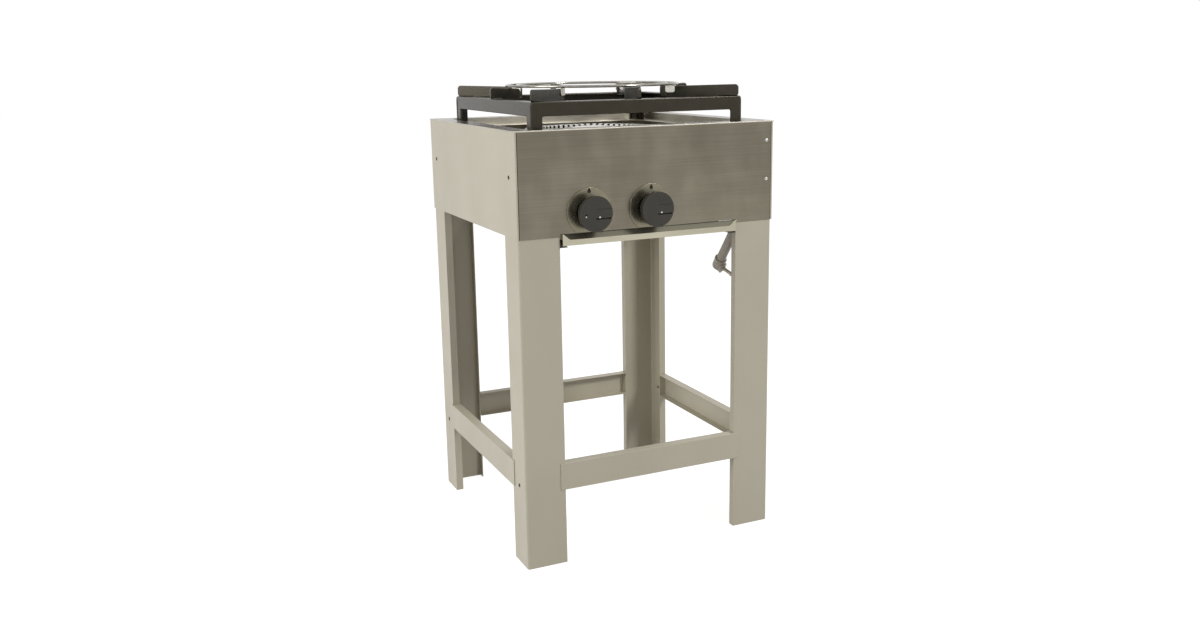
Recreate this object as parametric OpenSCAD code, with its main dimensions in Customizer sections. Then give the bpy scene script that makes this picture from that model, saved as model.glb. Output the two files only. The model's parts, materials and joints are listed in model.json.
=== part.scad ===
// Single burner gas hotplate on four folded legs, with a double ring burner,
// a lift-off grate, a lift-off pot ring and a pull-out drip tray.
// Units are millimetres. +X is the right of the hotplate, -Y its front, +Z up.
// The origin is on the floor, under the middle of the cabinet.

/* [Cabinet] */
// Width over the top plate
top_w = 500; // [440:5:600]
// Depth over the top plate
top_d = 488; // [440:4:580]
// Height of the top plate above the floor
top_z = 770; // [650:5:900]
// Height of the cabinet panels
body_h = 180; // [170:5:220]
// Thickness of the cabinet sheet
sheet = 1.2; // [0.8:0.1:1.6]
// Depth of the edge turned down round the top plate
edge_h = 2; // [1.5:0.5:6]
// Width of the raised rim of the top plate
rim_w = 35; // [28:1:45]
// Drop from the rim to the ledge that carries the grate
well_drop = 15; // [10:1:22]
// Width of ledge left under a grate foot
foot_hold = 15; // [10:1:18]
// Inside corner radius of the well
well_r = 8; // [4:1:14]
// Inward fold along the top of each panel
fold_w = 12; // [8:1:16]
// Fold at the upright edges of the side panels
corner_fold = 3; // [2:0.5:6]
// Gap between those folds and the front and rear panels
panel_gap = 1; // [0.3:0.1:1.5]
// Height of the cut-out over the drip tray
cutout_h = 4.5; // [3:0.5:8]

/* [Legs and rails] */
// Thickness of the leg sheet
leg_sheet = 2; // [1.5:0.1:3]
// Width of a leg seen from the front
leg_front = 75; // [60:1:85]
// Width of a leg seen from the side
leg_side = 64; // [50:1:80]
// Return lip on the free edges of a leg
leg_lip = 14; // [9:1:16]
// Outside bend radius of a leg
leg_bend = 4; // [3.5:0.5:6]
// Distance from the top plate down to the top of the legs
leg_top_gap = 20; // [14:1:30]
// Height of the underside of the rails
rail_z = 138; // [60:2:300]
// Height of a rail
rail_h = 49; // [30:1:70]
// Thickness of the rail sheet
rail_sheet = 1.5; // [1:0.1:2]
// Width of the rail flanges
rail_flange = 18; // [10:1:30]
// Length of rail that laps over a leg
rail_lap = 9; // [5:1:15]
// Play between a rail flange and the leg beside it
rail_play = 1; // [0.5:0.1:2]

/* [Fasteners] */
// Head radius of the hollow side rivets
side_rivet_head_r = 4.5; // [4.5:0.5:6]
// Shank radius of the side rivets
side_rivet_r = 3.6; // [3.4:0.1:3.8]
// Radius of the hole through the side rivets
side_rivet_core_r = 3; // [2:0.1:3.2]
// Height of a rivet head
rivet_head_h = 1; // [0.6:0.1:2]
// Bevel round the head of a rivet or screw
head_bevel = 0.6; // [0.3:0.1:1]
// Distance of the side rivets from the corner of a leg
rivet_inset = 32; // [20:1:45]
// Drop of the upper side rivets below the top plate
rivet_drop = 78; // [60:1:110]
// Height of the lower side rivets above the underside of the rails
rivet_rise = 10; // [6:1:24]
// Head radius of the front rivets
front_rivet_head_r = 3.2; // [2.8:0.1:4]
// Shank radius of the front rivets
front_rivet_r = 2.4; // [2:0.1:2.6]
// Distance of the front rivets from the right edge
front_rivet_inset = 14; // [10:1:25]
// Drop of the upper front rivet below the top plate
front_rivet_drop = 35; // [28:1:50]
// Spacing of the two front rivets
front_rivet_pitch = 70; // [40:1:90]

/* [Grate] */
// Play between the grate and the well
grate_play = 5; // [3:1:12]
// Leg length of the grate angle bar
bar_leg = 24; // [20:1:30]
// Thickness of the grate angle bar
bar_t = 3; // [2:0.5:4]
// Height of the angle bars above the ledge
bar_rise = 35; // [28:1:50]
// Open gap at each corner of the frame
corner_gap = 3; // [1:0.5:5]
// Leg length of the angle feet
foot_leg = 20; // [14:1:22]
// Height of a pot support above the frame
support_h = 21; // [16:1:30]
// Thickness of a pot support
support_t = 6; // [4:0.5:8]
// Radius of the circle that the pot supports end on
support_r = 146; // [138:1:160]
// Fall of the top edge of a pot support towards the middle
support_fall = 3; // [0:0.5:6]
// Depth that a pot support reaches below the frame top inside the frame
support_drop = 3; // [0:0.5:6]
// Corner cut on the ends of a pot support
support_cut = 4; // [2:0.5:6]

/* [Pot ring] */
// Radius of the outer wire of the pot ring
ring_outer_r = 162; // [156:1:166]
// Radius of the inner wire of the pot ring
ring_inner_r = 142; // [139:1:146]
// Diameter of the ring wire
wire_d = 4.5; // [3:0.5:6]
// Distance of the ring clips from the middle
clip_r = 156; // [154:0.5:158]
// Length of a ring clip along its pot support
clip_l = 18; // [14:1:18]
// Thickness of the clip sheet
clip_t = 1.5; // [0.8:0.1:2]
// Depth that a clip hangs down its pot support
clip_drop = 12; // [8:1:14]
// Play between a clip and the sides of its pot support
clip_play = 0.5; // [0.3:0.1:1]
// Gap between a clip and the top of its pot support
clip_gap = 0.3; // [0.2:0.05:0.4]
// How far the cross wires reach past the ring wires
cross_over = 5; // [3:0.5:8]
// Depth that welding sinks a cross wire into the ring wires
cross_sink = 0.45; // [0.2:0.05:0.8]

/* [Burners] */
// Outside radius of the outer crown
crown_r = 130; // [128:1:134]
// Depth of the burner castings
casting_h = 26; // [20:1:34]
// Height of the crown caps
cap_h = 7; // [6:0.5:10]
// Wall of the burner castings
casting_wall = 3; // [2:0.5:3.5]
// Radius of the inner crown
inner_r = 54; // [44:1:62]
// Number of flame slots in the outer crown
outer_slots = 56; // [40:4:80]
// Number of flame slots in the inner crown
inner_slots = 30; // [20:1:36]
// Width of a flame slot
slot_w = 4.6; // [2:0.2:5]
// Depth of a flame slot
slot_h = 5; // [3:0.5:5.5]
// Length of a flame slot in the inner crown
inner_slot_l = 12; // [8:1:14]
// Width of the flat ring between those slots and the dome
dome_ring = 3; // [1:0.5:6]
// Width of the steep edge of the dome
dome_edge = 6.5; // [3:0.5:10]
// Height of the dome above its ring
dome_h = 4; // [2:0.5:6]
// Bevel on the edges of the crowns
crown_bevel = 1; // [0.5:0.1:1.5]
// Depth of the spigot that centres a cap
spigot_h = 5; // [3:0.5:8]
// Gap under a cap
cap_gap = 0.3; // [0.2:0.05:0.4]
// Play round a spigot
spigot_play = 0.6; // [0.3:0.1:1]
// Outside radius of the mixing tubes
tube_r = 10; // [8.5:0.5:10.5]
// Wall of the mixing tubes
tube_wall = 2; // [1.5:0.25:2.5]
// Bend radius of the mixing tubes
tube_bend = 34; // [28:1:44]
// Outside radius of the bell mouth of a mixing tube
bell_r = 16; // [14:0.5:18]
// Length of the bell mouth
bell_l = 22; // [16:1:30]
// Width and depth of the angle bars that carry the burners
carrier_leg = 25; // [18:1:32]
// Thickness of the burner carrier bars
carrier_t = 2; // [1.5:0.1:3]
// Distance of the carrier bars from the middle
carrier_y = 74; // [68:1:84]
// Height of an inner burner lug
lug_h = 5; // [4:0.5:8]
// Width of an inner burner lug
lug_w = 22; // [16:1:30]

/* [Gas taps] */
// Height of the knobs above the lower edge of the panels
knob_rise = 38.5; // [36:0.5:50]
// Distance of the left knob from the middle
knob_x = 117; // [113:1:118]
// Radius of a knob
knob_r = 30.5; // [26:0.5:32]
// Depth of a knob
knob_d = 23; // [18:1:30]
// Wall of a knob
knob_wall = 2.5; // [1.5:0.5:3]
// Radius of the hub inside a knob
hub_r = 7.5; // [6:0.5:10]
// Width of the grip bar across a knob
grip_w = 14.5; // [10:0.5:18]
// Depth of the hollows above and below the grip bar
grip_h = 6; // [3:0.5:8]
// Bevel round the face of a knob
knob_bevel = 1.5; // [0.5:0.1:1.5]
// Distance of the pointer groove from the middle of a knob
groove_from = 10; // [6:1:14]
// Width of the pointer groove
groove_w = 1.2; // [0.8:0.1:2]
// Depth of the pointer groove
groove_h = 0.5; // [0.3:0.1:1]
// Radius of a bezel
bezel_r = 42; // [36:0.5:44]
// Thickness of a bezel
bezel_t = 1.5; // [1:0.1:2.5]
// Height of the level edge of a bezel above the cut-out
bezel_rise = 1; // [0.5:0.1:3]
// How far a knob pushes in
push = 3; // [2:0.1:4]
// Play left behind a pushed knob
push_play = 0.8; // [0.5:0.1:1.5]
// Radius of a spindle
spindle_r = 4; // [3.4:0.1:4.4]
// Depth of the flats on a spindle
spindle_flat = 1; // [0.6:0.1:1.4]
// Running clearance of the turning parts, on the radius
run_gap = 0.06; // [0.03:0.01:0.1]
// Clear hole round a spindle in the panel and the bezel
spindle_hole_gap = 2; // [1:0.1:3]
// Gap between the front panel and a tap
tap_gap = 4; // [2:0.5:8]
// Radius of a tap body
tap_r = 14; // [13:0.5:16]
// Length of a tap body
tap_l = 30; // [28:1:40]
// Radius of a tap bonnet
bonnet_r = 11; // [10:0.5:13]
// Length of a tap bonnet
bonnet_l = 8; // [6:0.5:12]
// Radius of a tap plug
plug_r = 9; // [8:0.5:10]
// Length of a tap plug
plug_l = 22; // [20:0.5:24]
// Depth of the socket in a tap plug
socket_l = 12; // [10:0.5:12]
// End play of a tap plug
plug_play = 0.1; // [0.05:0.05:0.2]
// Radius of the gas ways
way_r = 2; // [1.5:0.1:2.1]
// Radius of the low flame way in a tap plug
low_way_r = 0.8; // [0.5:0.1:1]
// Radius of the gas way behind a tap plug
port_r = 3; // [2.2:0.1:3.2]
// Radius of the outlet behind a tap
outlet_r = 7; // [6:0.5:9]
// Length of the outlet behind a tap
outlet_l = 8; // [5:0.5:12]
// Distance across the flats of an injector
injector_af = 9; // [7:0.5:10]
// Length of the hexagon of an injector
injector_hex_l = 5; // [4:0.5:8]
// Length of the nose of an injector
injector_nose_l = 6; // [4:0.5:10]
// Radius of the gas hole in an injector
injector_bore_r = 0.6; // [0.4:0.1:1]

/* [Gas inlet] */
// Outside radius of the gas pipes
pipe_r = 9; // [8.5:0.25:9.5]
// Wall of the gas pipes
pipe_wall = 2; // [1.5:0.1:2.5]
// Drop from the knobs to the manifold
manifold_drop = 24; // [24:0.5:26]
// Height of the bosses on the manifold, from its axis
boss_rise = 13; // [12:0.5:14]
// Radius of the bosses on the manifold
boss_r = 8; // [6.5:0.5:8]
// Distance of the left end of the manifold from the middle
manifold_left = 150; // [140:1:160]
// Distance of the inlet pipe from the middle
inlet_x = 206; // [200:1:212]
// Radius of the elbow fittings
elbow_r = 12; // [11.5:0.5:13]
// Length of an elbow from its centre to the end of its collar
elbow_l = 18; // [15:0.5:24]
// Distance from the centre of an elbow to the pipe end inside it
elbow_seat = 9; // [8:0.5:12]
// Width of a manifold bracket
bracket_w = 12; // [8:1:20]
// Wall of a manifold bracket
bracket_t = 3; // [2:0.5:3]
// Height of the foot of a manifold bracket
bracket_h = 30; // [26:1:32]
// Distance of the left manifold bracket from the middle
bracket_left = 58; // [40:1:70]
// Distance of the right manifold bracket from the middle
bracket_right = 94; // [60:1:120]
// Length of the inlet pipe between the centres of its elbows
inlet_l = 147; // [110:1:180]
// Lean of the inlet pipe from upright, towards the rear
inlet_lean = 38.5; // [20:0.5:45]
// Turn of the hose nozzle round the inlet pipe
nozzle_turn = 58; // [0:1:90]
// Radius of the hose nozzle
nozzle_r = 3.5; // [3:0.1:4]
// Length of the hose nozzle beyond its elbow
nozzle_l = 17; // [14:0.5:24]
// Radius of the barb on the hose nozzle
barb_r = 4.5; // [4.2:0.1:6]
// Length of the barb on the hose nozzle
barb_l = 4.5; // [4:0.5:6]
// Length of the full width of the barb
barb_land = 3; // [2:0.5:3]
// Length of the nozzle shoulder outside its elbow
shoulder_l = 1; // [0.5:0.5:3]
// Radius of the gas way in the hose nozzle
nozzle_bore_r = 2; // [1.5:0.1:2.5]

/* [Drip tray] */
// Drop of the runner tops below the lower edge of the panels
shelf_drop = 6.5; // [5:0.5:10]
// Height of a runner channel
runner_h = 12.5; // [8:0.5:14]
// Width of a runner channel
runner_w = 14; // [10:0.5:16]
// Thickness of the runner sheet
runner_t = 1.5; // [1:0.1:2]
// Head radius of the runner screws
screw_head_r = 3; // [2.5:0.1:3.5]
// Shank radius of the runner screws
screw_r = 1.6; // [1.2:0.1:2]
// Head height of the runner screws
screw_head_h = 2; // [1:0.1:2.5]
// Thickness of the tray sheet
tray_t = 1; // [0.8:0.1:1.5]
// Depth of the tray below its flanges
tray_drop = 9; // [6:0.5:14]
// Gap between the tray flanges and the legs
tray_play = 3; // [1:0.5:5]
// Gap between the pan of the tray and its runners
pan_play = 3; // [1:0.5:6]
// Lift of the tray flanges off the runners
tray_lift = 0.3; // [0.2:0.05:0.4]
// Distance of the rear wall of the tray from the rear of the cabinet
tray_rear = 34; // [25:1:60]
// How far the lip of the tray stands in front of the top plate
lip_out = 4; // [2:0.5:8]
// Depth of the sloping face of the lip
lip_slope = 8; // [6:0.5:12]
// Rise of the sloping face of the lip
lip_rise = 9; // [5:0.5:9.5]
// Width of the top of the cheeks at the front corners of the tray
cheek_w = 3; // [1:0.5:6]

/* [Hidden] */
$fn = 48;

// Cabinet: the panels sit inside the turned-down edge, the legs inside the panels
half_w = top_w / 2;
half_d = top_d / 2;
end_x = half_w - sheet - corner_fold - panel_gap;
panel_x = half_w - sheet;
panel_y = half_d - sheet;
leg_x = panel_x - sheet;
leg_y = panel_y - sheet;
panel_z = top_z - body_h;
panel_top = top_z - sheet;
ledge_z = top_z - well_drop;
well_x = half_w - rim_w;
well_y = half_d - rim_w;
leg_top = top_z - leg_top_gap;
bay_x = leg_x - leg_front;
bay_y = leg_y - leg_side;
cut = 1;
side_rivet_y = leg_y - rivet_inset;
upper_rivet_z = top_z - rivet_drop;
lower_rivet_z = rail_z + rivet_rise;
front_rivet_x = half_w - front_rivet_inset;
front_rivet_z = [top_z - front_rivet_drop, top_z - front_rivet_drop - front_rivet_pitch];

// Grate
grate_x = min(well_x, well_y) - grate_play;
bar_z = ledge_z + bar_rise;
frame_top = bar_z + bar_leg;
foot_x = grate_x - bar_t;
open_x = foot_x - foot_hold;
support_low = frame_top - support_drop;
support_top = frame_top + support_h;
corner_reach = (grate_x - corner_gap) * sqrt(2);
corner_seat = (grate_x - bar_leg - support_t / 2) * sqrt(2);

// Pot ring
clip_in = support_t / 2 + clip_play;
clip_end = clip_r + clip_l / 2;
clip_fall = support_fall * (corner_reach - clip_end) / (corner_reach - support_r);
clip_seat = support_top - clip_fall + clip_gap;
clip_top = clip_seat + clip_t;
wire_z = clip_top + wire_d / 2;
cross_z = wire_z + wire_d - cross_sink;

// Burners
cap_top = ledge_z;
cap_z = cap_top - cap_h;
casting_z = cap_z - casting_h;
crown_w = 2 * (crown_r - knob_x);
crown_in = crown_r - crown_w;
slot_in = inner_r - inner_slot_l;
dome_r = slot_in - dome_ring;

// Taps
knob_z = panel_z + knob_rise;
knob_at = [-knob_x, 0];
panel_in_y = -leg_y;
tap_y = panel_in_y + tap_gap;
body_y = tap_y + bonnet_l;
body_end_y = body_y + tap_l;
outlet_end_y = body_end_y + outlet_l;
tap_mid_y = body_y + tap_l / 2;
bezel_y = -panel_y - bezel_t;
knob_back_y = bezel_y - push - push_play;
knob_face_y = knob_back_y - knob_d;
spindle_front_y = knob_face_y + grip_h;
plug_y = body_y + plug_play;
spindle_end_y = plug_y + socket_l - push - push_play;
bezel_flat = knob_rise - cutout_h - bezel_rise;

// Gas supply
manifold_z = knob_z - manifold_drop;
bracket_at = [-bracket_left, bracket_right];

// Drip tray: the pan hangs between the runners, and its flanges rest on them
shelf_z = panel_z - shelf_drop;
flange_x = bay_x - tray_play;
pan_x = bay_x - runner_w - pan_play;
flange_z = shelf_z + tray_lift;
flange_top = flange_z + tray_t;
lip_y = -half_d - lip_out;
tray_rear_y = half_d - tray_rear;
screw_y = leg_y - leg_lip / 2;
screw_z = shelf_z - runner_h / 2;

steel = "#8f8a84";
bright = "#d7d4ce";
paint = "#b9b4a6";
black = "#3b3c3e";

// Rectangle with round corners, centred
module round_rect(w, d, r) {
    square([w - 2 * r, d], center = true);
    square([w, d - 2 * r], center = true);
    for (x = [-1, 1], y = [-1, 1])
        translate([x * (w / 2 - r), y * (d / 2 - r)]) circle(r = r);
}

// Cylinder whose axis runs to the rear from y
module rearward(y, l, r) {
    translate([0, y, 0]) rotate([-90, 0, 0]) cylinder(r = r, h = l);
}

// Top plate with its turned-down edge, well and grate ledge
module top_plate() {
    color(bright) {
        translate([0, 0, top_z - sheet]) linear_extrude(sheet) difference() {
            square([top_w, top_d], center = true);
            round_rect(2 * well_x, 2 * well_y, well_r);
        }
        translate([0, 0, top_z - edge_h]) linear_extrude(edge_h) difference() {
            square([top_w, top_d], center = true);
            square([2 * panel_x, 2 * panel_y], center = true);
        }
        translate([0, 0, ledge_z - sheet]) linear_extrude(well_drop + sheet) difference() {
            round_rect(2 * (well_x + sheet), 2 * (well_y + sheet), well_r + sheet);
            round_rect(2 * well_x, 2 * well_y, well_r);
        }
        translate([0, 0, ledge_z - sheet]) linear_extrude(sheet) difference() {
            round_rect(2 * (well_x + sheet), 2 * (well_y + sheet), well_r + sheet);
            round_rect(2 * open_x, 2 * open_x, well_r);
        }
    }
}

// Blank for the front and rear panels, standing at the front
module end_blank() {
    translate([-end_x, -panel_y, panel_z]) cube([2 * end_x, sheet, body_h - sheet]);
    translate([-end_x, -panel_y, panel_top - sheet]) cube([2 * end_x, fold_w, sheet]);
}

// Front panel with its tray cut-out, spindle holes and rivet holes
module front_panel() {
    color(steel) difference() {
        end_blank();
        translate([-bay_x, -half_d, panel_z - cut]) cube([2 * bay_x, rim_w / 2, cutout_h + cut]);
        for (x = knob_at)
            translate([x, 0, knob_z]) rearward(-half_d, rim_w / 2, spindle_r + spindle_hole_gap);
        for (z = front_rivet_z)
            translate([front_rivet_x, 0, z]) rearward(-half_d, rim_w / 2, front_rivet_r);
    }
}

// Rear panel, with the same cut-out over the tray
module rear_panel() {
    color(paint) mirror([0, 1, 0]) difference() {
        end_blank();
        translate([-bay_x, -half_d, panel_z - cut]) cube([2 * bay_x, rim_w / 2, cutout_h + cut]);
    }
}

// Side panel on the left, folded round the upright corners
module side_panel() {
    color(paint) difference() {
        union() {
            translate([-panel_x, -panel_y, panel_z]) cube([sheet, 2 * panel_y, body_h - sheet]);
            for (y = [-panel_y, leg_y]) translate([-panel_x, y, panel_z])
                cube([corner_fold, sheet, body_h - sheet]);
            translate([-panel_x, -panel_y + fold_w, panel_top - sheet])
                cube([fold_w, 2 * (panel_y - fold_w), sheet]);
        }
        for (y = [-1, 1]) translate([-half_w, y * side_rivet_y, upper_rivet_z])
            rotate([0, 90, 0]) cylinder(r = side_rivet_r, h = rim_w / 2);
    }
}

module left_panel() { side_panel(); }

module right_panel() { mirror([1, 0, 0]) side_panel(); }

// Outline of the front left leg, with its outside corner at the origin
module leg_outline() {
    difference() {
        translate([leg_bend, leg_bend]) circle(r = leg_bend);
        translate([leg_bend, leg_bend]) circle(r = leg_bend - leg_sheet);
        translate([leg_bend, -cut]) square([leg_bend + cut, 2 * leg_bend + 2 * cut]);
        translate([-cut, leg_bend]) square([2 * leg_bend + 2 * cut, leg_bend + cut]);
    }
    translate([leg_bend, 0]) square([leg_front - leg_bend, leg_sheet]);
    translate([0, leg_bend]) square([leg_sheet, leg_side - leg_bend]);
    translate([leg_front - leg_sheet, 0]) square([leg_sheet, leg_lip]);
    translate([0, leg_side - leg_sheet]) square([leg_lip, leg_sheet]);
}

// Front left leg, a folded sheet from the floor up into the cabinet
module leg() {
    color(paint) difference() {
        translate([-leg_x, -leg_y, 0]) linear_extrude(leg_top) leg_outline();
        for (z = [upper_rivet_z, lower_rivet_z]) translate([-half_w, -side_rivet_y, z])
            rotate([0, 90, 0]) cylinder(r = side_rivet_r, h = leg_lip);
        for (z = front_rivet_z) translate([-front_rivet_x, 0, z])
            rearward(-half_d, leg_lip, front_rivet_r);
        translate([-bay_x - leg_sheet - cut, -screw_y, screw_z]) rotate([0, 90, 0])
            cylinder(r = screw_r, h = leg_sheet + 2 * cut);
    }
}

module leg_front_left() { leg(); }

module leg_front_right() { mirror([1, 0, 0]) leg(); }

module leg_rear_left() { mirror([0, 1, 0]) leg(); }

module leg_rear_right() { mirror([1, 0, 0]) mirror([0, 1, 0]) leg(); }

// Channel rail along X. Its web laps over the legs and its flanges stop between them
module rail(bay, face) {
    color(paint) {
        translate([-bay - rail_lap, -face - rail_sheet, rail_z])
            cube([2 * (bay + rail_lap), rail_sheet, rail_h]);
        for (z = [rail_z, rail_z + rail_h - rail_sheet])
            translate([-bay + rail_play, -face - rail_sheet, z])
                cube([2 * (bay - rail_play), rail_flange, rail_sheet]);
    }
}

module rail_front() { rail(bay_x, leg_y); }

module rail_rear() { mirror([0, 1, 0]) rail(bay_x, leg_y); }

module rail_left() { rotate([0, 0, -90]) rail(bay_y, leg_x); }

module rail_right() { rotate([0, 0, 90]) rail(bay_y, leg_x); }

// Hollow rivet through the sheets, with its head outside
module hollow_rivet(grip) {
    difference() {
        union() {
            translate([0, 0, -grip]) cylinder(r = side_rivet_r, h = grip);
            cylinder(r1 = side_rivet_head_r, r2 = side_rivet_head_r - head_bevel, h = rivet_head_h);
        }
        translate([0, 0, -grip - cut])
            cylinder(r = side_rivet_core_r, h = grip + rivet_head_h + 2 * cut);
    }
}

// Hollow rivets at the sides and two solid ones that hold the front panel
module rivets() {
    color(bright) {
        for (sx = [0, 1], sy = [-1, 1]) mirror([sx, 0, 0]) {
            translate([-panel_x, sy * side_rivet_y, upper_rivet_z]) rotate([0, -90, 0])
                hollow_rivet(sheet + leg_sheet);
            translate([-leg_x, sy * side_rivet_y, lower_rivet_z]) rotate([0, -90, 0])
                hollow_rivet(leg_sheet);
        }
        for (z = front_rivet_z) translate([front_rivet_x, -panel_y, z]) rotate([90, 0, 0]) {
            translate([0, 0, -sheet - leg_sheet]) cylinder(r = front_rivet_r, h = sheet + leg_sheet);
            cylinder(r1 = front_rivet_head_r, r2 = front_rivet_head_r - head_bevel, h = rivet_head_h);
        }
    }
}

// Front angle bar of the grate, its top flange mitred at both ends
module grate_bar() {
    color(black) {
        translate([-grate_x + corner_gap, -grate_x, bar_z])
            cube([2 * (grate_x - corner_gap), bar_t, bar_leg]);
        translate([0, 0, frame_top - bar_t]) linear_extrude(bar_t) polygon([
            [-grate_x + corner_gap, -grate_x], [grate_x - corner_gap, -grate_x],
            [grate_x - bar_leg - corner_gap, -grate_x + bar_leg],
            [-grate_x + bar_leg + corner_gap, -grate_x + bar_leg]]);
    }
}

module grate_bar_front() { grate_bar(); }

module grate_bar_rear() { rotate([0, 0, 180]) grate_bar(); }

module grate_bar_left() { rotate([0, 0, -90]) grate_bar(); }

module grate_bar_right() { rotate([0, 0, 90]) grate_bar(); }

// Angle feet inside the corners of the frame, standing on the ledge
module grate_feet() {
    color(black) for (a = [0 : 90 : 270]) rotate([0, 0, a])
        translate([-foot_x, -foot_x, ledge_z]) linear_extrude(frame_top - bar_t - ledge_z)
            difference() {
                square([foot_leg, foot_leg]);
                translate([bar_t, bar_t]) square([foot_leg, foot_leg]);
            }
}

// Flat pot support on edge along +X, from radius reach in to support_r
module pot_support(reach, seat) {
    in_top = support_top - support_fall;
    color(black) rotate([90, 0, 0]) translate([0, 0, -support_t / 2]) linear_extrude(support_t)
        polygon([
            [seat, frame_top], [reach, frame_top],
            [reach, support_top - support_cut], [reach - support_cut, support_top],
            [support_r + support_cut, in_top], [support_r, in_top - support_cut],
            [support_r, support_low + support_cut], [support_r + support_cut, support_low],
            [seat, support_low]]);
}

// Corner support, number 0 to 3 counted anticlockwise from the front left
module corner_support(i) {
    rotate([0, 0, 225 + 90 * i]) pot_support(corner_reach, corner_seat);
}

// Side support, number 0 to 3 counted anticlockwise from the front
module side_support(i) {
    rotate([0, 0, 270 + 90 * i]) pot_support(grate_x, grate_x - bar_leg);
}

module pot_support_1() { corner_support(0); }

module pot_support_2() { side_support(0); }

module pot_support_3() { corner_support(1); }

module pot_support_4() { side_support(1); }

module pot_support_5() { corner_support(2); }

module pot_support_6() { side_support(2); }

module pot_support_7() { corner_support(3); }

module pot_support_8() { side_support(3); }

// Two rings of round wire, joined by four short cross wires on top
module pot_ring_wires() {
    cross_l = ring_outer_r - ring_inner_r + 2 * cross_over;
    color(bright) {
        for (r = [ring_inner_r, ring_outer_r]) translate([0, 0, wire_z])
            rotate_extrude($fn = 96) translate([r, 0]) circle(r = wire_d / 2, $fn = 20);
        for (a = [45 : 90 : 315]) rotate([0, 0, a])
            translate([ring_inner_r - cross_over, 0, cross_z]) rotate([0, 90, 0])
                cylinder(r = wire_d / 2, h = cross_l, $fn = 20);
    }
}

// Sheet saddles that straddle the corner supports and carry the ring wires
module ring_clips() {
    color(bright) for (a = [45 : 90 : 315]) rotate([0, 0, a])
        translate([clip_r - clip_l / 2, 0, 0]) rotate([90, 0, 90]) linear_extrude(clip_l)
            difference() {
                translate([-clip_in - clip_t, clip_top - clip_drop])
                    square([2 * (clip_in + clip_t), clip_drop]);
                translate([-clip_in, clip_top - clip_drop - cut])
                    square([2 * clip_in, clip_drop - clip_t + cut]);
            }
}

// Annular casting of the outer burner, open at the top
module outer_burner_body() {
    color(black) difference() {
        translate([0, 0, casting_z]) rotate_extrude($fn = 96) difference() {
            translate([crown_in, 0]) square([crown_w, casting_h]);
            translate([crown_in + casting_wall, casting_wall])
                square([crown_w - 2 * casting_wall, casting_h]);
        }
        translate([-knob_x, 0, casting_z - cut])
            cylinder(r = tube_r - tube_wall, h = casting_wall + 2 * cut);
    }
}

// Slotted crown of the outer burner, with a spigot that centres it in the casting
module outer_burner_cap() {
    rim_h = cap_h - cap_gap;
    color(bright) difference() {
        translate([0, 0, cap_z + cap_gap]) rotate_extrude($fn = 96) {
            polygon([[crown_in, 0], [crown_r, 0], [crown_r, rim_h - crown_bevel],
                [crown_r - crown_bevel, rim_h], [crown_in + crown_bevel, rim_h],
                [crown_in, rim_h - crown_bevel]]);
            translate([crown_in + casting_wall + spigot_play, -spigot_h])
                square([crown_w - 2 * (casting_wall + spigot_play), spigot_h]);
        }
        for (i = [0 : outer_slots - 1]) rotate([0, 0, (i + 0.5) * 360 / outer_slots])
            translate([crown_in - cut, -slot_w / 2, cap_top - slot_h])
                cube([crown_w + 2 * cut, slot_w, slot_h + cut]);
    }
}

// Cup casting of the inner burner, with two lugs that rest on the carrier bars
module inner_burner_body() {
    lug_l = carrier_y + carrier_leg / 2;
    color(black) difference() {
        union() {
            translate([0, 0, casting_z]) cylinder(r = inner_r, h = casting_h, $fn = 96);
            translate([-lug_w / 2, -lug_l, casting_z]) cube([lug_w, 2 * lug_l, lug_h]);
        }
        translate([0, 0, casting_z + casting_wall])
            cylinder(r = inner_r - casting_wall, h = casting_h, $fn = 96);
        translate([0, 0, casting_z - cut]) cylinder(r = tube_r - tube_wall, h = casting_wall + 2 * cut);
    }
}

// Slotted cap of the inner burner, with a low dome in the middle
module inner_burner_cap() {
    rim_h = cap_h - cap_gap;
    color(bright) difference() {
        translate([0, 0, cap_z + cap_gap]) rotate_extrude($fn = 96) {
            polygon([[0, 0], [inner_r, 0], [inner_r, rim_h - crown_bevel],
                [inner_r - crown_bevel, rim_h], [dome_r, rim_h],
                [dome_r - dome_edge, rim_h + dome_h / 2], [0, rim_h + dome_h]]);
            translate([0, -spigot_h]) square([inner_r - casting_wall - spigot_play, spigot_h]);
        }
        for (i = [0 : inner_slots - 1]) rotate([0, 0, (i + 0.5) * 360 / inner_slots])
            translate([slot_in, -slot_w / 2, cap_top - slot_h])
                cube([inner_slot_l + cut, slot_w, slot_h + cut]);
    }
}

// Mixing tube: bell mouth round the injector, level run, bend, riser and flange
module mixing_tube(x) {
    bore_r = tube_r - tube_wall;
    bell_y = outlet_end_y + injector_hex_l / 2;
    run = -tube_bend - bell_y;
    rise = casting_z - knob_z - tube_bend;
    color(steel) translate([x, 0, knob_z]) {
        translate([0, -tube_bend, 0]) rotate([-90, 0, 0]) rotate_extrude() polygon([
            [bell_r - tube_wall, -run], [bell_r, -run], [tube_r, bell_l - run], [tube_r, 0],
            [bore_r, 0], [bore_r, bell_l - run]]);
        translate([0, -tube_bend, tube_bend]) rotate([0, 90, 0]) rotate_extrude(angle = 90)
            translate([tube_bend, 0]) difference() {
                circle(r = tube_r, $fn = 32);
                circle(r = bore_r, $fn = 32);
            }
        translate([0, 0, tube_bend]) rotate_extrude() polygon([
            [bore_r, 0], [tube_r, 0], [tube_r, rise - casting_wall],
            [tube_r + casting_wall, rise - casting_wall], [tube_r + casting_wall, rise],
            [bore_r, rise]]);
    }
}

module outer_mixing_tube() { mixing_tube(-knob_x); }

module inner_mixing_tube() { mixing_tube(0); }

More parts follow.
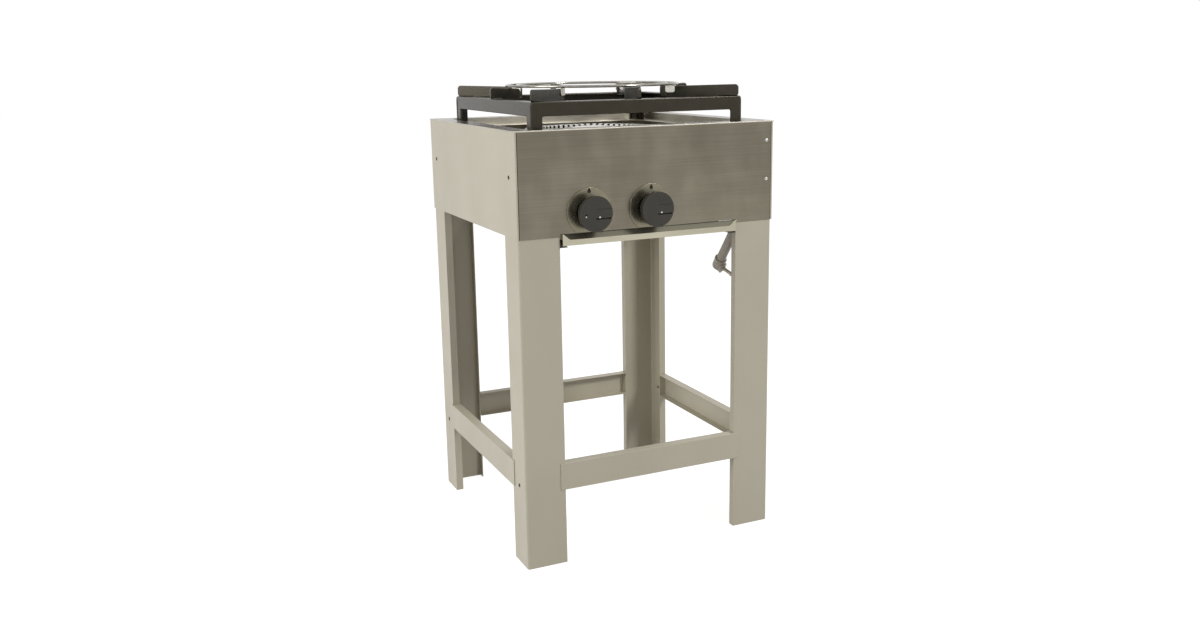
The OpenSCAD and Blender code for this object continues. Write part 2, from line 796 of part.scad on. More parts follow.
// Angle bar across the cabinet, under the burner castings
module burner_bar() {
    color(paint) translate([-leg_x, -carrier_y - carrier_leg / 2, casting_z]) {
        translate([0, 0, -carrier_t]) cube([2 * leg_x, carrier_leg, carrier_t]);
        translate([0, 0, -carrier_leg]) cube([2 * leg_x, carrier_t, carrier_leg]);
    }
}

module burner_bar_front() { burner_bar(); }

module burner_bar_rear() { mirror([0, 1, 0]) burner_bar(); }

// Tap body with a flat seat on the manifold boss and a bore for the plug
module tap_body(x) {
    plug_bore = plug_l + 2 * plug_play;
    color("#b9a15a") translate([x, 0, knob_z]) difference() {
        union() {
            rearward(body_y, tap_l, tap_r);
            rearward(body_end_y - cut, outlet_l + cut, outlet_r);
        }
        translate([-tap_r, body_y - cut, -tap_r - cut])
            cube([2 * tap_r, tap_l + 2 * cut, tap_r + cut - manifold_drop + boss_rise]);
        rearward(body_y - cut, plug_bore + cut, plug_r + run_gap);
        rearward(body_y + plug_bore - cut, tap_l + outlet_l, port_r);
        translate([0, tap_mid_y, -tap_r]) cylinder(r = way_r, h = tap_r);
    }
}

module tap_body_1() { tap_body(knob_at[0]); }

module tap_body_2() { tap_body(knob_at[1]); }

// Bonnets that hold the plugs in the taps and guide the spindles
module tap_bonnets() {
    color("#b9a15a") for (x = knob_at) translate([x, 0, knob_z]) difference() {
        rearward(tap_y, bonnet_l, bonnet_r);
        rearward(tap_y - cut, bonnet_l + 2 * cut, spindle_r + run_gap);
    }
}

// Spindle section from y over length l, with a flat on its upper side
module flatted(y, l, r, flat) {
    difference() {
        rearward(y, l, r);
        translate([-r, y - cut, flat]) cube([2 * r, l + 2 * cut, r]);
    }
}

// Tap plug: socket for the spindle, full flame way to the left, low flame way upwards
module tap_plug(x) {
    flat = spindle_r - spindle_flat;
    way_y = tap_mid_y;
    color("#c9b26a") translate([x, 0, knob_z]) difference() {
        rearward(plug_y, plug_l, plug_r);
        flatted(plug_y - cut, socket_l + cut, spindle_r + run_gap, flat + run_gap);
        translate([-plug_r - cut, way_y, 0]) rotate([0, 90, 0]) cylinder(r = way_r, h = plug_r + cut);
        translate([0, way_y, 0]) cylinder(r = low_way_r, h = plug_r + cut);
        rearward(way_y, plug_l, way_r);
    }
}

module tap_plug_1() { tap_plug(knob_at[0]); }

module tap_plug_2() { tap_plug(knob_at[1]); }

// Spindle with a flat at the knob end and another in the plug
module spindle(x) {
    flat = spindle_r - spindle_flat;
    color(steel) translate([x, 0, knob_z]) {
        flatted(spindle_front_y, knob_back_y - spindle_front_y, spindle_r, flat);
        rearward(knob_back_y, tap_y + bonnet_l / 2 - push - knob_back_y, spindle_r);
        flatted(tap_y + bonnet_l / 2 - push, spindle_end_y - tap_y - bonnet_l / 2 + push,
            spindle_r, flat);
    }
}

module spindle_1() { spindle(knob_at[0]); }

module spindle_2() { spindle(knob_at[1]); }

// Knob: a skirt round a grip bar, hollows above and below it, and a hub for the spindle
module knob(x) {
    floor_y = knob_face_y + grip_h + knob_wall;
    color("#33353a") translate([x, 0, knob_z]) difference() {
        translate([0, knob_face_y, 0]) rotate([-90, 0, 0]) rotate_extrude($fn = 64) polygon([
            [0, 0], [knob_r - knob_bevel, 0], [knob_r, knob_bevel], [knob_r, knob_d], [0, knob_d]]);
        difference() {
            rearward(knob_face_y - cut, grip_h + cut, knob_r - knob_wall, $fn = 64);
            translate([-knob_r, knob_face_y - 2 * cut, -grip_w / 2])
                cube([2 * knob_r, grip_h + 3 * cut, grip_w]);
        }
        difference() {
            rearward(floor_y, knob_d, knob_r - knob_wall, $fn = 64);
            rearward(floor_y - cut, knob_d + 2 * cut, hub_r);
        }
        flatted(spindle_front_y, knob_d, spindle_r, spindle_r - spindle_flat);
        translate([groove_from, knob_face_y - cut, -groove_w / 2])
            cube([knob_r, cut + groove_h, groove_w]);
    }
}

module knob_1() { knob(knob_at[0]); }

module knob_2() { knob(knob_at[1]); }

// Bezel behind a knob, cut level so that it stays clear of the tray cut-out
module bezel(x) {
    color(bright) translate([x, 0, knob_z]) difference() {
        rearward(bezel_y, bezel_t, bezel_r, $fn = 96);
        translate([-bezel_r, bezel_y - cut, -bezel_r - cut])
            cube([2 * bezel_r, bezel_t + 2 * cut, bezel_r + cut - bezel_flat]);
        rearward(bezel_y - cut, bezel_t + 2 * cut, spindle_r + spindle_hole_gap);
    }
}

module bezel_1() { bezel(knob_at[0]); }

module bezel_2() { bezel(knob_at[1]); }

// Injectors at the tap outlets
module injectors() {
    color("#c9b26a") for (x = knob_at) translate([x, 0, knob_z]) difference() {
        union() {
            rearward(outlet_end_y, injector_hex_l, injector_af / sqrt(3), $fn = 6);
            rearward(outlet_end_y, injector_hex_l + injector_nose_l, injector_af / 3);
        }
        rearward(outlet_end_y - cut, injector_hex_l + injector_nose_l + 2 * cut, injector_bore_r);
    }
}

// Manifold pipe with a boss under each tap
module gas_manifold() {
    pipe_l = manifold_left + inlet_x - elbow_seat;
    color(paint) translate([0, tap_mid_y, manifold_z]) difference() {
        union() {
            translate([-manifold_left, 0, 0]) rotate([0, 90, 0]) cylinder(r = pipe_r, h = pipe_l);
            for (x = knob_at) translate([x, 0, 0]) cylinder(r = boss_r, h = boss_rise);
        }
        translate([-manifold_left - cut, 0, 0]) rotate([0, 90, 0])
            cylinder(r = pipe_r - pipe_wall, h = pipe_l + 2 * cut);
        for (x = knob_at) translate([x, 0, 0]) cylinder(r = way_r, h = boss_rise + cut);
    }
}

// Cap on the left end of the manifold
module manifold_cap() {
    color(paint) translate([-manifold_left - bracket_t, tap_mid_y, manifold_z]) rotate([0, 90, 0])
        difference() {
            cylinder(r = elbow_r, h = bracket_t + elbow_seat);
            translate([0, 0, bracket_t]) cylinder(r = pipe_r, h = elbow_seat + cut);
        }
}

// Brackets that hold the manifold to the front panel
module manifold_brackets() {
    ring = pipe_r + bracket_t;
    reach = tap_mid_y - panel_in_y;
    color(steel) for (x = bracket_at) translate([x - bracket_w / 2, tap_mid_y, manifold_z])
        rotate([90, 0, 90]) linear_extrude(bracket_w) difference() {
            union() {
                circle(r = ring);
                translate([-reach, -bracket_t / 2]) square([reach, bracket_t]);
                translate([-reach, -ring / 2]) square([bracket_t / 2, bracket_h]);
            }
            circle(r = pipe_r);
        }
}

// Elbow fitting: sockets along +Z and along +X, with gas ways that meet in the middle
module elbow() {
    color(paint) difference() {
        union() {
            sphere(r = elbow_r);
            cylinder(r = elbow_r, h = elbow_l);
            rotate([0, 90, 0]) cylinder(r = elbow_r, h = elbow_l);
        }
        cylinder(r = pipe_r - pipe_wall, h = elbow_l + cut);
        rotate([0, 90, 0]) cylinder(r = pipe_r - pipe_wall, h = elbow_l + cut);
        translate([0, 0, elbow_seat]) cylinder(r = pipe_r, h = elbow_l);
        rotate([0, 90, 0]) translate([0, 0, elbow_seat]) cylinder(r = pipe_r, h = elbow_l);
    }
}

// Inlet frame: origin in the manifold elbow, +Z down along the inlet pipe
module inlet_frame() {
    translate([inlet_x, tap_mid_y, manifold_z]) rotate([180 + inlet_lean, 0, 0]) children();
}

// Hose frame: origin in the lower elbow, +Z back up the inlet pipe, +X along the nozzle
module hose_frame() {
    inlet_frame() translate([0, 0, inlet_l]) rotate([0, 0, nozzle_turn]) rotate([180, 0, 0]) children();
}

module inlet_elbow() { inlet_frame() mirror([1, 0, 0]) elbow(); }

module inlet_pipe() {
    color(paint) inlet_frame() translate([0, 0, elbow_seat]) difference() {
        cylinder(r = pipe_r, h = inlet_l - 2 * elbow_seat);
        translate([0, 0, -cut]) cylinder(r = pipe_r - pipe_wall, h = inlet_l);
    }
}

module hose_elbow() { hose_frame() elbow(); }

// Hose nozzle screwed into the lower elbow
module hose_nozzle() {
    root_l = elbow_l - elbow_seat;
    tip = root_l + nozzle_l;
    color(black) hose_frame() translate([elbow_seat, 0, 0]) rotate([0, 90, 0]) rotate_extrude()
        polygon([
            [nozzle_bore_r, 0], [pipe_r, 0], [pipe_r, root_l + shoulder_l],
            [nozzle_r, root_l + shoulder_l], [nozzle_r, tip - barb_l], [barb_r, tip - barb_l],
            [barb_r, tip - barb_l + barb_land], [nozzle_r, tip], [nozzle_bore_r, tip]]);
}

// Drip tray: a shallow pan with a flange on each side, a raised lip along the front and
// a cheek at each front corner, between the pan and the end of the lip
module drip_tray() {
    length = tray_rear_y - lip_y;
    back_y = lip_y + lip_slope;
    pan_z = flange_z - tray_drop;
    cheek_z = flange_top + lip_rise;
    color(bright) {
        translate([-pan_x, lip_y, pan_z]) difference() {
            cube([2 * pan_x, length, tray_drop + tray_t]);
            translate([tray_t, tray_t, tray_t])
                cube([2 * (pan_x - tray_t), length - 2 * tray_t, tray_drop + cut]);
        }
        for (s = [0, 1]) mirror([s, 0, 0]) translate([pan_x - tray_t, lip_y, flange_z])
            cube([flange_x - pan_x + tray_t, length, tray_t]);
        for (s = [0, 1]) mirror([s, 0, 0]) translate([0, lip_y + tray_t, 0]) rotate([90, 0, 0])
            linear_extrude(tray_t) polygon([[pan_x - tray_t, pan_z], [flange_x, pan_z],
                [flange_x, cheek_z], [flange_x - cheek_w, cheek_z], [pan_x - tray_t, flange_z]]);
        translate([-flange_x, 0, 0]) rotate([90, 0, 90]) linear_extrude(2 * flange_x) polygon([
            [lip_y, flange_z], [lip_y, flange_top], [back_y - tray_t, cheek_z],
            [back_y, cheek_z], [back_y, flange_z + lip_rise], [lip_y + tray_t, flange_z]]);
    }
}

// Channel on the left that carries the tray, fixed to the lips of the legs
module tray_runner() {
    color(black) difference() {
        translate([-bay_x, -leg_y, shelf_z - runner_h]) cube([runner_w, 2 * leg_y, runner_h]);
        translate([-bay_x + runner_t, -leg_y - cut, shelf_z - runner_h + runner_t])
            cube([runner_w, 2 * leg_y + 2 * cut, runner_h - 2 * runner_t]);
        for (y = [-screw_y, screw_y]) translate([-bay_x - cut, y, screw_z]) rotate([0, 90, 0])
            cylinder(r = screw_r, h = runner_t + 2 * cut);
    }
}

module tray_runner_left() { tray_runner(); }

module tray_runner_right() { mirror([1, 0, 0]) tray_runner(); }

// Screws that hold the runners to the legs, with their heads inside the channels
module runner_screws() {
    grip = runner_t + leg_sheet;
    color(bright) for (sx = [0, 1], y = [-screw_y, screw_y]) mirror([sx, 0, 0])
        translate([-bay_x + runner_t, y, screw_z]) rotate([0, 90, 0]) {
            translate([0, 0, -grip]) cylinder(r = screw_r, h = grip);
            cylinder(r1 = screw_head_r, r2 = screw_head_r - head_bevel, h = screw_head_h);
        }
}

top_plate();
front_panel();
rear_panel();
left_panel();
right_panel();
leg_front_left();
leg_front_right();
leg_rear_left();
leg_rear_right();
rail_front();
rail_rear();
rail_left();
rail_right();
rivets();
grate_bar_front();
grate_bar_rear();
grate_bar_left();
grate_bar_right();
grate_feet();
pot_support_1();
pot_support_2();
pot_support_3();
pot_support_4();
pot_support_5();
pot_support_6();
pot_support_7();
pot_support_8();
pot_ring_wires();
ring_clips();
outer_burner_body();
outer_burner_cap();
inner_burner_body();
inner_burner_cap();
outer_mixing_tube();
inner_mixing_tube();
burner_bar_front();
burner_bar_rear();
tap_body_1();
tap_body_2();
tap_bonnets();
tap_plug_1();
tap_plug_2();
spindle_1();
spindle_2();
knob_1();
knob_2();
bezel_1();
bezel_2();
injectors();
gas_manifold();
manifold_cap();
manifold_brackets();
inlet_elbow();
inlet_pipe();
hose_elbow();
hose_nozzle();
drip_tray();
tray_runner_left();
tray_runner_right();
runner_screws();
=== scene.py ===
import json
import math

import bmesh
import bpy
from mathutils import Matrix, Vector

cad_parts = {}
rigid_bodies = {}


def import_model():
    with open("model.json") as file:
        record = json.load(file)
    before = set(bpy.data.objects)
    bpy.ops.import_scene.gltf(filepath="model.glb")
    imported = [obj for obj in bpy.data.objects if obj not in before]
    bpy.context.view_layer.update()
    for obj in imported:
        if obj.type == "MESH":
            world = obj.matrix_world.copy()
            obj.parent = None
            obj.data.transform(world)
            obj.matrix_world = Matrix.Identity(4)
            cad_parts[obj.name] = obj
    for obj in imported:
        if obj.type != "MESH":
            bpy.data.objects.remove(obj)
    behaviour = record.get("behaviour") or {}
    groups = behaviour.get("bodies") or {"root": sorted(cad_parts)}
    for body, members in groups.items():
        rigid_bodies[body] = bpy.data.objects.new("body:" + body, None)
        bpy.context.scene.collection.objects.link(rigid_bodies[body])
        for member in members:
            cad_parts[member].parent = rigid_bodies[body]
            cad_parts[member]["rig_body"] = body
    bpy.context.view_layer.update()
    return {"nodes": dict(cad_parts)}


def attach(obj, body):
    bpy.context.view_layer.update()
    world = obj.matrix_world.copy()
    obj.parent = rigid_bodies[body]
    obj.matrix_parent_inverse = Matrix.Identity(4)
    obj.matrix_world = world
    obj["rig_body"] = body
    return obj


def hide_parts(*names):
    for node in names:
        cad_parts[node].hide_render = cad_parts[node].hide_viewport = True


# Looks of a single burner gas hotplate: enamelled cabinet and legs, a brushed front panel with
# two tap knobs, a black welded grate with a wire pot ring, and the gas inlet with its nozzle.
# Lengths are metres in the cabinet's own frame: +X right, -Y front, +Z up, the floor at 0.

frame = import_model()
MM = 0.001


# ---------------------------------------------------------------- camera

CAMERA_AT = Vector((-0.8801, -1.9667, 0.8859))
CAMERA_YAW, CAMERA_PITCH, CAMERA_ROLL = 24.909, -11.983, -0.850
SENSOR_MM, LENS_MM = 36, 33.484
LENS_SHIFT = (-0.00908, -0.01750)


def aim_camera():
    """Stands the camera where the photograph was taken from: left of the front, just above the grate."""
    yaw, pitch, roll = (math.radians(a) for a in (CAMERA_YAW, CAMERA_PITCH, CAMERA_ROLL))
    look = Vector((math.sin(yaw) * math.cos(pitch), math.cos(yaw) * math.cos(pitch), math.sin(pitch)))
    level = look.cross(Vector((0, 0, 1))).normalized()
    upright = level.cross(look)
    right = level * math.cos(roll) + upright * math.sin(roll)
    up = upright * math.cos(roll) - level * math.sin(roll)
    lens = bpy.data.cameras.new("camera")
    lens.sensor_width = SENSOR_MM
    lens.lens = LENS_MM
    lens.shift_x, lens.shift_y = LENS_SHIFT
    lens.clip_end = 60
    camera = bpy.data.objects.new("camera", lens)
    bpy.context.scene.collection.objects.link(camera)
    turn = Matrix((right, up, -look)).transposed().to_4x4()
    camera.matrix_world = Matrix.Translation(CAMERA_AT) @ turn
    bpy.context.scene.camera = camera


aim_camera()


# ---------------------------------------------------------------- finishes

def colour(hex_code):
    """sRGB hex to the linear colour that a shader socket takes."""
    parts = [int(hex_code[i:i + 2], 16) / 255 for i in (1, 3, 5)]
    return [p / 12.92 if p <= 0.04045 else ((p + 0.055) / 1.055) ** 2.4 for p in parts] + [1.0]


def across(size_mm):
    """Texture scale whose features come out about size_mm across, as object coordinates are metres."""
    return 1 / (size_mm * MM)


def add(tree, kind, inputs, **settings):
    """Adds one node: settings are its own options, and inputs are socket values or links from other nodes."""
    made = tree.nodes.new(kind)
    for name, value in settings.items():
        setattr(made, name, value)
    for name, value in inputs.items():
        if isinstance(value, bpy.types.NodeSocket):
            tree.links.new(value, made.inputs[name])
        else:
            made.inputs[name].default_value = value
    return made


def finish(name, **shader_values):
    """Starts a material: its node tree and its shader, with the values that are the same all over."""
    made = bpy.data.materials.new(name)
    made.use_nodes = True
    tree = made.node_tree
    shader = tree.nodes["Principled BSDF"]
    for socket, value in shader_values.items():
        shader.inputs[socket.replace("_", " ")].default_value = value
    return made, tree, shader


def blotches(tree, size_mm, stretch=(1, 1, 1), detail=3.0, rough=0.5):
    """Soft random pattern from 0 to 1, size_mm across, drawn out by stretch along X, Y and Z."""
    place = add(tree, "ShaderNodeTexCoord", {}).outputs["Object"]
    drawn = add(tree, "ShaderNodeMapping", {"Vector": place, "Scale": [1 / s for s in stretch]})
    return add(tree, "ShaderNodeTexNoise", {
        "Vector": drawn.outputs["Vector"], "Scale": across(size_mm), "Detail": detail,
        "Roughness": rough}).outputs["Fac"]


def between(tree, pattern, low, high, start=0.3, end=0.7):
    """Number that runs from low to high as the pattern runs from start to end."""
    return add(tree, "ShaderNodeMapRange", {
        "Value": pattern, "From Min": start, "From Max": end, "To Min": low, "To Max": high,
    }).outputs["Result"]


def tint(tree, pattern, first, second, start=0.3, end=0.7):
    """Colour that runs from first to second as the pattern runs from start to end."""
    share = between(tree, pattern, 0, 1, start, end)
    return add(tree, "ShaderNodeMix", {0: share, 6: first, 7: second}, data_type="RGBA").outputs[2]


def relief(tree, shader, pattern, depth_mm):
    """Raises and sinks the surface by depth_mm over the pattern."""
    bumped = add(tree, "ShaderNodeBump", {"Height": pattern, "Distance": depth_mm * MM, "Strength": 1.0})
    tree.links.new(bumped.outputs["Normal"], shader.inputs["Normal"])


def powder_coat():
    """Greige powder coat on folded mild steel, stoved: even and satin, with a faint orange peel."""
    made, tree, shader = finish("greige_powder_coat", IOR=1.5)
    cloud = blotches(tree, 180, (1, 1, 1.6))
    tree.links.new(tint(tree, cloud, colour("#b7b09d"), colour("#beb7a4")), shader.inputs["Base Color"])
    tree.links.new(between(tree, blotches(tree, 60), 0.36, 0.46), shader.inputs["Roughness"])
    # Orange peel is 2 to 3 mm across and a few hundredths deep
    relief(tree, shader, blotches(tree, 3, detail=1.0), 0.02)
    return made


def brushed_stainless():
    """Stainless sheet belt-brushed along its length, then wiped: fine grain and cloudy, warm reflections."""
    made, tree, shader = finish("brushed_stainless", Metallic=1.0)
    # The real grain is 0.1 to 0.2 mm apart, too fine to show, so it is drawn 1.2 mm apart
    grain = blotches(tree, 1.2, (160, 1, 1), detail=2.0)
    cloud = blotches(tree, 95, (1.7, 1, 1), detail=2.0)
    wiped = blotches(tree, 45, (1, 1, 2.6), detail=3.0)
    base = tint(tree, cloud, colour("#797367"), colour("#857f71"), 0.35, 0.65)
    light = tint(tree, wiped, colour("#f2f2f0"), colour("#ffffff"), 0.4, 0.62)
    lines = tint(tree, grain, colour("#f1f0ee"), colour("#ffffff"))
    softened = add(tree, "ShaderNodeMix", {0: 1.0, 6: base, 7: light},
                   data_type="RGBA", blend_type="MULTIPLY").outputs[2]
    lined = add(tree, "ShaderNodeMix", {0: 1.0, 6: softened, 7: lines},
                data_type="RGBA", blend_type="MULTIPLY").outputs[2]
    tree.links.new(lined, shader.inputs["Base Color"])
    tree.links.new(between(tree, wiped, 0.20, 0.28), shader.inputs["Roughness"])
    relief(tree, shader, grain, 0.01)
    return made


def satin_stainless(name, light, dark, smooth_to, rough_to):
    """Stainless sheet with its mill finish: smoother than the brushed front, and duller in patches."""
    made, tree, shader = finish(name, Metallic=1.0)
    # Rolling lines are finer than a tenth of a millimetre and are drawn 0.8 mm apart
    rolled = blotches(tree, 0.8, (120, 1, 1), detail=2.0)
    cloud = blotches(tree, 70, (1.4, 1, 1))
    tree.links.new(tint(tree, cloud, colour(dark), colour(light)), shader.inputs["Base Color"])
    tree.links.new(between(tree, cloud, smooth_to, rough_to), shader.inputs["Roughness"])
    relief(tree, shader, rolled, 0.004)
    return made


def top_stainless():
    """Stainless top pressed to a well, its brushed face dulled by heat and scouring: pale, warm and soft."""
    made, tree, shader = finish("scoured_stainless", Metallic=1.0)
    # Scouring marks are finer than half a millimetre and are drawn 1 mm apart
    scoured = blotches(tree, 1.0, (90, 1, 1), detail=2.0)
    cloud = blotches(tree, 60, (1.5, 1, 1))
    tree.links.new(tint(tree, cloud, colour("#b5b0a3"), colour("#c6c1b4")), shader.inputs["Base Color"])
    tree.links.new(between(tree, cloud, 0.30, 0.38), shader.inputs["Roughness"])
    relief(tree, shader, scoured, 0.004)
    return made


def black_paint(name, thin, pooled_colour):
    """Black stove paint over welded bar: glossy, pooled a little unevenly, slightly brown where thin."""
    made, tree, shader = finish(name, IOR=1.48, Specular_Tint=colour("#fff1d8"))
    pooled = blotches(tree, 14)
    tree.links.new(tint(tree, pooled, colour(thin), colour(pooled_colour)), shader.inputs["Base Color"])
    tree.links.new(between(tree, pooled, 0.20, 0.28), shader.inputs["Roughness"])
    # Runs and dust under the paint, 5 mm across
    relief(tree, shader, blotches(tree, 5, detail=2.0), 0.05)
    return made


def nickel_wire():
    """Drawn steel wire and pressed sheet, bright nickel plated: mirror-like with a warm tone."""
    made, tree, shader = finish("bright_nickel_plate", Metallic=1.0)
    worn = blotches(tree, 12)
    tree.links.new(tint(tree, worn, colour("#8b8880"), colour("#a5a299")), shader.inputs["Base Color"])
    tree.links.new(between(tree, worn, 0.10, 0.18), shader.inputs["Roughness"])
    return made


def saddle_zinc():
    """Folded zinc-plated sheet, dulled by the flame: pale and soft."""
    made, tree, shader = finish("dulled_zinc_sheet", Metallic=1.0)
    dulled = blotches(tree, 6)
    tree.links.new(tint(tree, dulled, colour("#cdcac1"), colour("#e6e3db")), shader.inputs["Base Color"])
    tree.links.new(between(tree, dulled, 0.5, 0.62), shader.inputs["Roughness"])
    relief(tree, shader, blotches(tree, 2.5), 0.03)
    return made


def cast_aluminium(name, slots, slot_mm, inner_end_mm):
    """Pressure cast aluminium crown: pale, with a fine sandy skin, and painted near black inside its flame
    slots as their shade.
    """
    made, tree, shader = finish(name, Metallic=1.0)
    skin = blotches(tree, 1.5, detail=4.0)
    heat = blotches(tree, 40)
    pale = tint(tree, heat, colour("#e2dfd5"), colour("#f6f4ec"))
    place = add(tree, "ShaderNodeTexCoord", {}).outputs["Object"]
    axes = add(tree, "ShaderNodeSeparateXYZ", {"Vector": place})
    x, y = axes.outputs["X"], axes.outputs["Y"]
    bearing = add(tree, "ShaderNodeMath", {0: y, 1: x}, operation="ARCTAN2").outputs[0]
    turns = add(tree, "ShaderNodeMath", {0: bearing, 1: slots / (2 * math.pi)},
                operation="MULTIPLY").outputs[0]
    share = add(tree, "ShaderNodeMath", {0: turns}, operation="FRACT").outputs[0]
    from_slot = add(tree, "ShaderNodeMath", {0: share, 1: 0.5}, operation="SUBTRACT").outputs[0]
    flat = add(tree, "ShaderNodeCombineXYZ", {"X": x, "Y": y}).outputs["Vector"]
    radius = add(tree, "ShaderNodeVectorMath", {0: flat}, operation="LENGTH").outputs["Value"]
    arc = add(tree, "ShaderNodeMath", {0: from_slot, 1: radius}, operation="MULTIPLY").outputs[0]
    aside = add(tree, "ShaderNodeMath", {0: arc}, operation="ABSOLUTE").outputs[0]
    # The arc is counted in shares of the spacing, so half a slot's width is turned into such a share
    edge = slot_mm / 2 * MM * slots / (2 * math.pi)
    in_slot = between(tree, aside, 1.0, 0.0, edge, edge * 1.12)
    past_end = between(tree, radius, 0.0, 1.0, (inner_end_mm - 0.3) * MM, inner_end_mm * MM)
    # Painted shade: inside the flame slots the colour turns near black
    slot_shade = add(tree, "ShaderNodeMath", {0: in_slot, 1: past_end}, operation="MULTIPLY").outputs[0]
    slot_shaded = add(tree, "ShaderNodeMix", {0: slot_shade, 6: pale, 7: colour("#1d1a17")}, data_type="RGBA").outputs[2]
    tree.links.new(slot_shaded, shader.inputs["Base Color"])
    tree.links.new(between(tree, skin, 0.38, 0.52), shader.inputs["Roughness"])
    # The skin of the mould is about 1 mm sand, a twentieth deep
    relief(tree, shader, skin, 0.05)
    return made


def cast_iron():
    """Grey iron sand casting, blackened: rough, matt and pitted."""
    made, tree, shader = finish("blackened_cast_iron", Metallic=0.2, IOR=1.5)
    sand = blotches(tree, 2, detail=5.0, rough=0.6)
    tree.links.new(tint(tree, sand, colour("#2b2a29"), colour("#3a3836")), shader.inputs["Base Color"])
    tree.links.new(between(tree, sand, 0.62, 0.8), shader.inputs["Roughness"])
    relief(tree, shader, sand, 0.15)
    return made


def zinc_plate():
    """Pressed and turned steel, bright zinc plated: cool grey with a soft spangle."""
    made, tree, shader = finish("bright_zinc_plate", Metallic=1.0)
    spangle = blotches(tree, 4)
    tree.links.new(tint(tree, spangle, colour("#a9a8a4"), colour("#c6c5c1")), shader.inputs["Base Color"])
    tree.links.new(between(tree, spangle, 0.24, 0.36), shader.inputs["Roughness"])
    return made


def mill_steel():
    """Hot rolled steel bar and sheet: dull blue-grey scale with lighter rubbed patches."""
    made, tree, shader = finish("mill_scale_steel", Metallic=0.8)
    scale = blotches(tree, 25, detail=4.0)
    tree.links.new(tint(tree, scale, colour("#6d6c6a"), colour("#8f8d89")), shader.inputs["Base Color"])
    tree.links.new(between(tree, scale, 0.4, 0.58), shader.inputs["Roughness"])
    relief(tree, shader, blotches(tree, 2), 0.02)
    return made


def brass():
    """Turned free-cutting brass: yellow, with the tool's fine rings dulled by handling."""
    made, tree, shader = finish("turned_brass", Metallic=1.0)
    dulled = blotches(tree, 8)
    tree.links.new(tint(tree, dulled, colour("#9c824a"), colour("#bfa563")), shader.inputs["Base Color"])
    tree.links.new(between(tree, dulled, 0.25, 0.4), shader.inputs["Roughness"])
    return made


def knob_resin():
    """Black phenolic, compression moulded: dark warm grey with a fine matt spark-eroded skin."""
    made, tree, shader = finish("moulded_phenolic", IOR=1.45)
    skin = blotches(tree, 1.0, detail=2.0)
    faded = blotches(tree, 22)
    tree.links.new(tint(tree, faded, colour("#26221b"), colour("#2e2a22")), shader.inputs["Base Color"])
    tree.links.new(between(tree, faded, 0.38, 0.5), shader.inputs["Roughness"])
    relief(tree, shader, skin, 0.01)
    return made


def bezel_aluminium():
    """Pressed aluminium dial plate, satin anodised: soft grey rings of light."""
    made, tree, shader = finish("satin_anodised_aluminium", Metallic=1.0)
    etched = blotches(tree, 18)
    tree.links.new(tint(tree, etched, colour("#76715f"), colour("#847f6e")), shader.inputs["Base Color"])
    tree.links.new(between(tree, etched, 0.22, 0.30), shader.inputs["Roughness"])
    relief(tree, shader, blotches(tree, 0.8, detail=1.0), 0.004)
    return made


def pipe_paint():
    """Grey alkyd paint brushed over black iron pipe and malleable fittings: satin and slightly lumpy."""
    made, tree, shader = finish("brushed_grey_paint", IOR=1.5)
    brushed = blotches(tree, 6, (1, 1, 3))
    tree.links.new(tint(tree, brushed, colour("#b5ada2"), colour("#c8c0b5")), shader.inputs["Base Color"])
    tree.links.new(between(tree, brushed, 0.36, 0.5), shader.inputs["Roughness"])
    relief(tree, shader, brushed, 0.08)
    return made


def nozzle_steel():
    """Turned steel nozzle, a little browned by handling: soft gleam."""
    made, tree, shader = finish("turned_steel", Metallic=1.0)
    handled = blotches(tree, 5)
    tree.links.new(tint(tree, handled, colour("#8d8578"), colour("#a9a194")), shader.inputs["Base Color"])
    tree.links.new(between(tree, handled, 0.35, 0.5), shader.inputs["Roughness"])
    return made


def dead_black_shade():
    """Painted shade: dead black with no shine at all, for the gaps beside the front panel, the eyelets'
    mouths and a dark spot on the first knob.
    """
    made, tree, shader = finish("dead_black_painted_shade", IOR=1.1, Roughness=1.0)
    mottle = blotches(tree, 2)
    tree.links.new(tint(tree, mottle, colour("#15130f"), colour("#221f19")), shader.inputs["Base Color"])
    return made


def dial_ink(name, hex_code):
    """Screen-printed epoxy ink: flat colour, a hair rough, thinner where the screen dragged."""
    made, tree, shader = finish(name, IOR=1.3, Roughness=0.7)
    dragged = blotches(tree, 1.5)
    printed = colour(hex_code)
    thin = [0.85 * c + 0.03 for c in printed[:3]] + [1.0]
    tree.links.new(tint(tree, dragged, thin, printed, 0.3, 0.5), shader.inputs["Base Color"])
    return made


COAT = powder_coat()
BRUSHED = brushed_stainless()
SATIN = satin_stainless("mill_stainless", "#b3ae9b", "#a5a18e", 0.22, 0.30)
# A darker, rougher copy of the mill stainless: painted shade for the tray's sloping band
TRAY_SLOPE_SHADED = satin_stainless("tray_slope_painted_shade", "#625f53", "#57544a", 0.50, 0.58)
TOP = top_stainless()
BLACK = black_paint("black_stove_paint", "#16150f", "#1f1d17")
SOOTED = black_paint("burnt_stove_paint", "#1f1e1a", "#2b2a24")
NICKEL = nickel_wire()
SADDLE = saddle_zinc()
# Flame slots of the two crowns: how many, how wide, and how far from the middle they begin, in millimetres
OUTER_SLOTS, INNER_SLOTS = 56, 30
SLOT_MM = 4.6
OUTER_SLOTS_FROM_MM, INNER_SLOTS_FROM_MM = 100, 42
CROWN = cast_aluminium("cast_aluminium_crown", OUTER_SLOTS, SLOT_MM, OUTER_SLOTS_FROM_MM)
INNER_CROWN = cast_aluminium("cast_aluminium_inner_crown", INNER_SLOTS, SLOT_MM, INNER_SLOTS_FROM_MM)
IRON = cast_iron()
ZINC = zinc_plate()
STEEL = mill_steel()
BRASS = brass()
RESIN = knob_resin()
DIAL = bezel_aluminium()
PIPE = pipe_paint()
NOZZLE = nozzle_steel()
SHADE_BLACK = dead_black_shade()
DARK_INK = dial_ink("dark_dial_ink", "#26241f")
PALE_INK = dial_ink("pale_dial_ink", "#f2efe6")


# ---------------------------------------------------------------- pieces

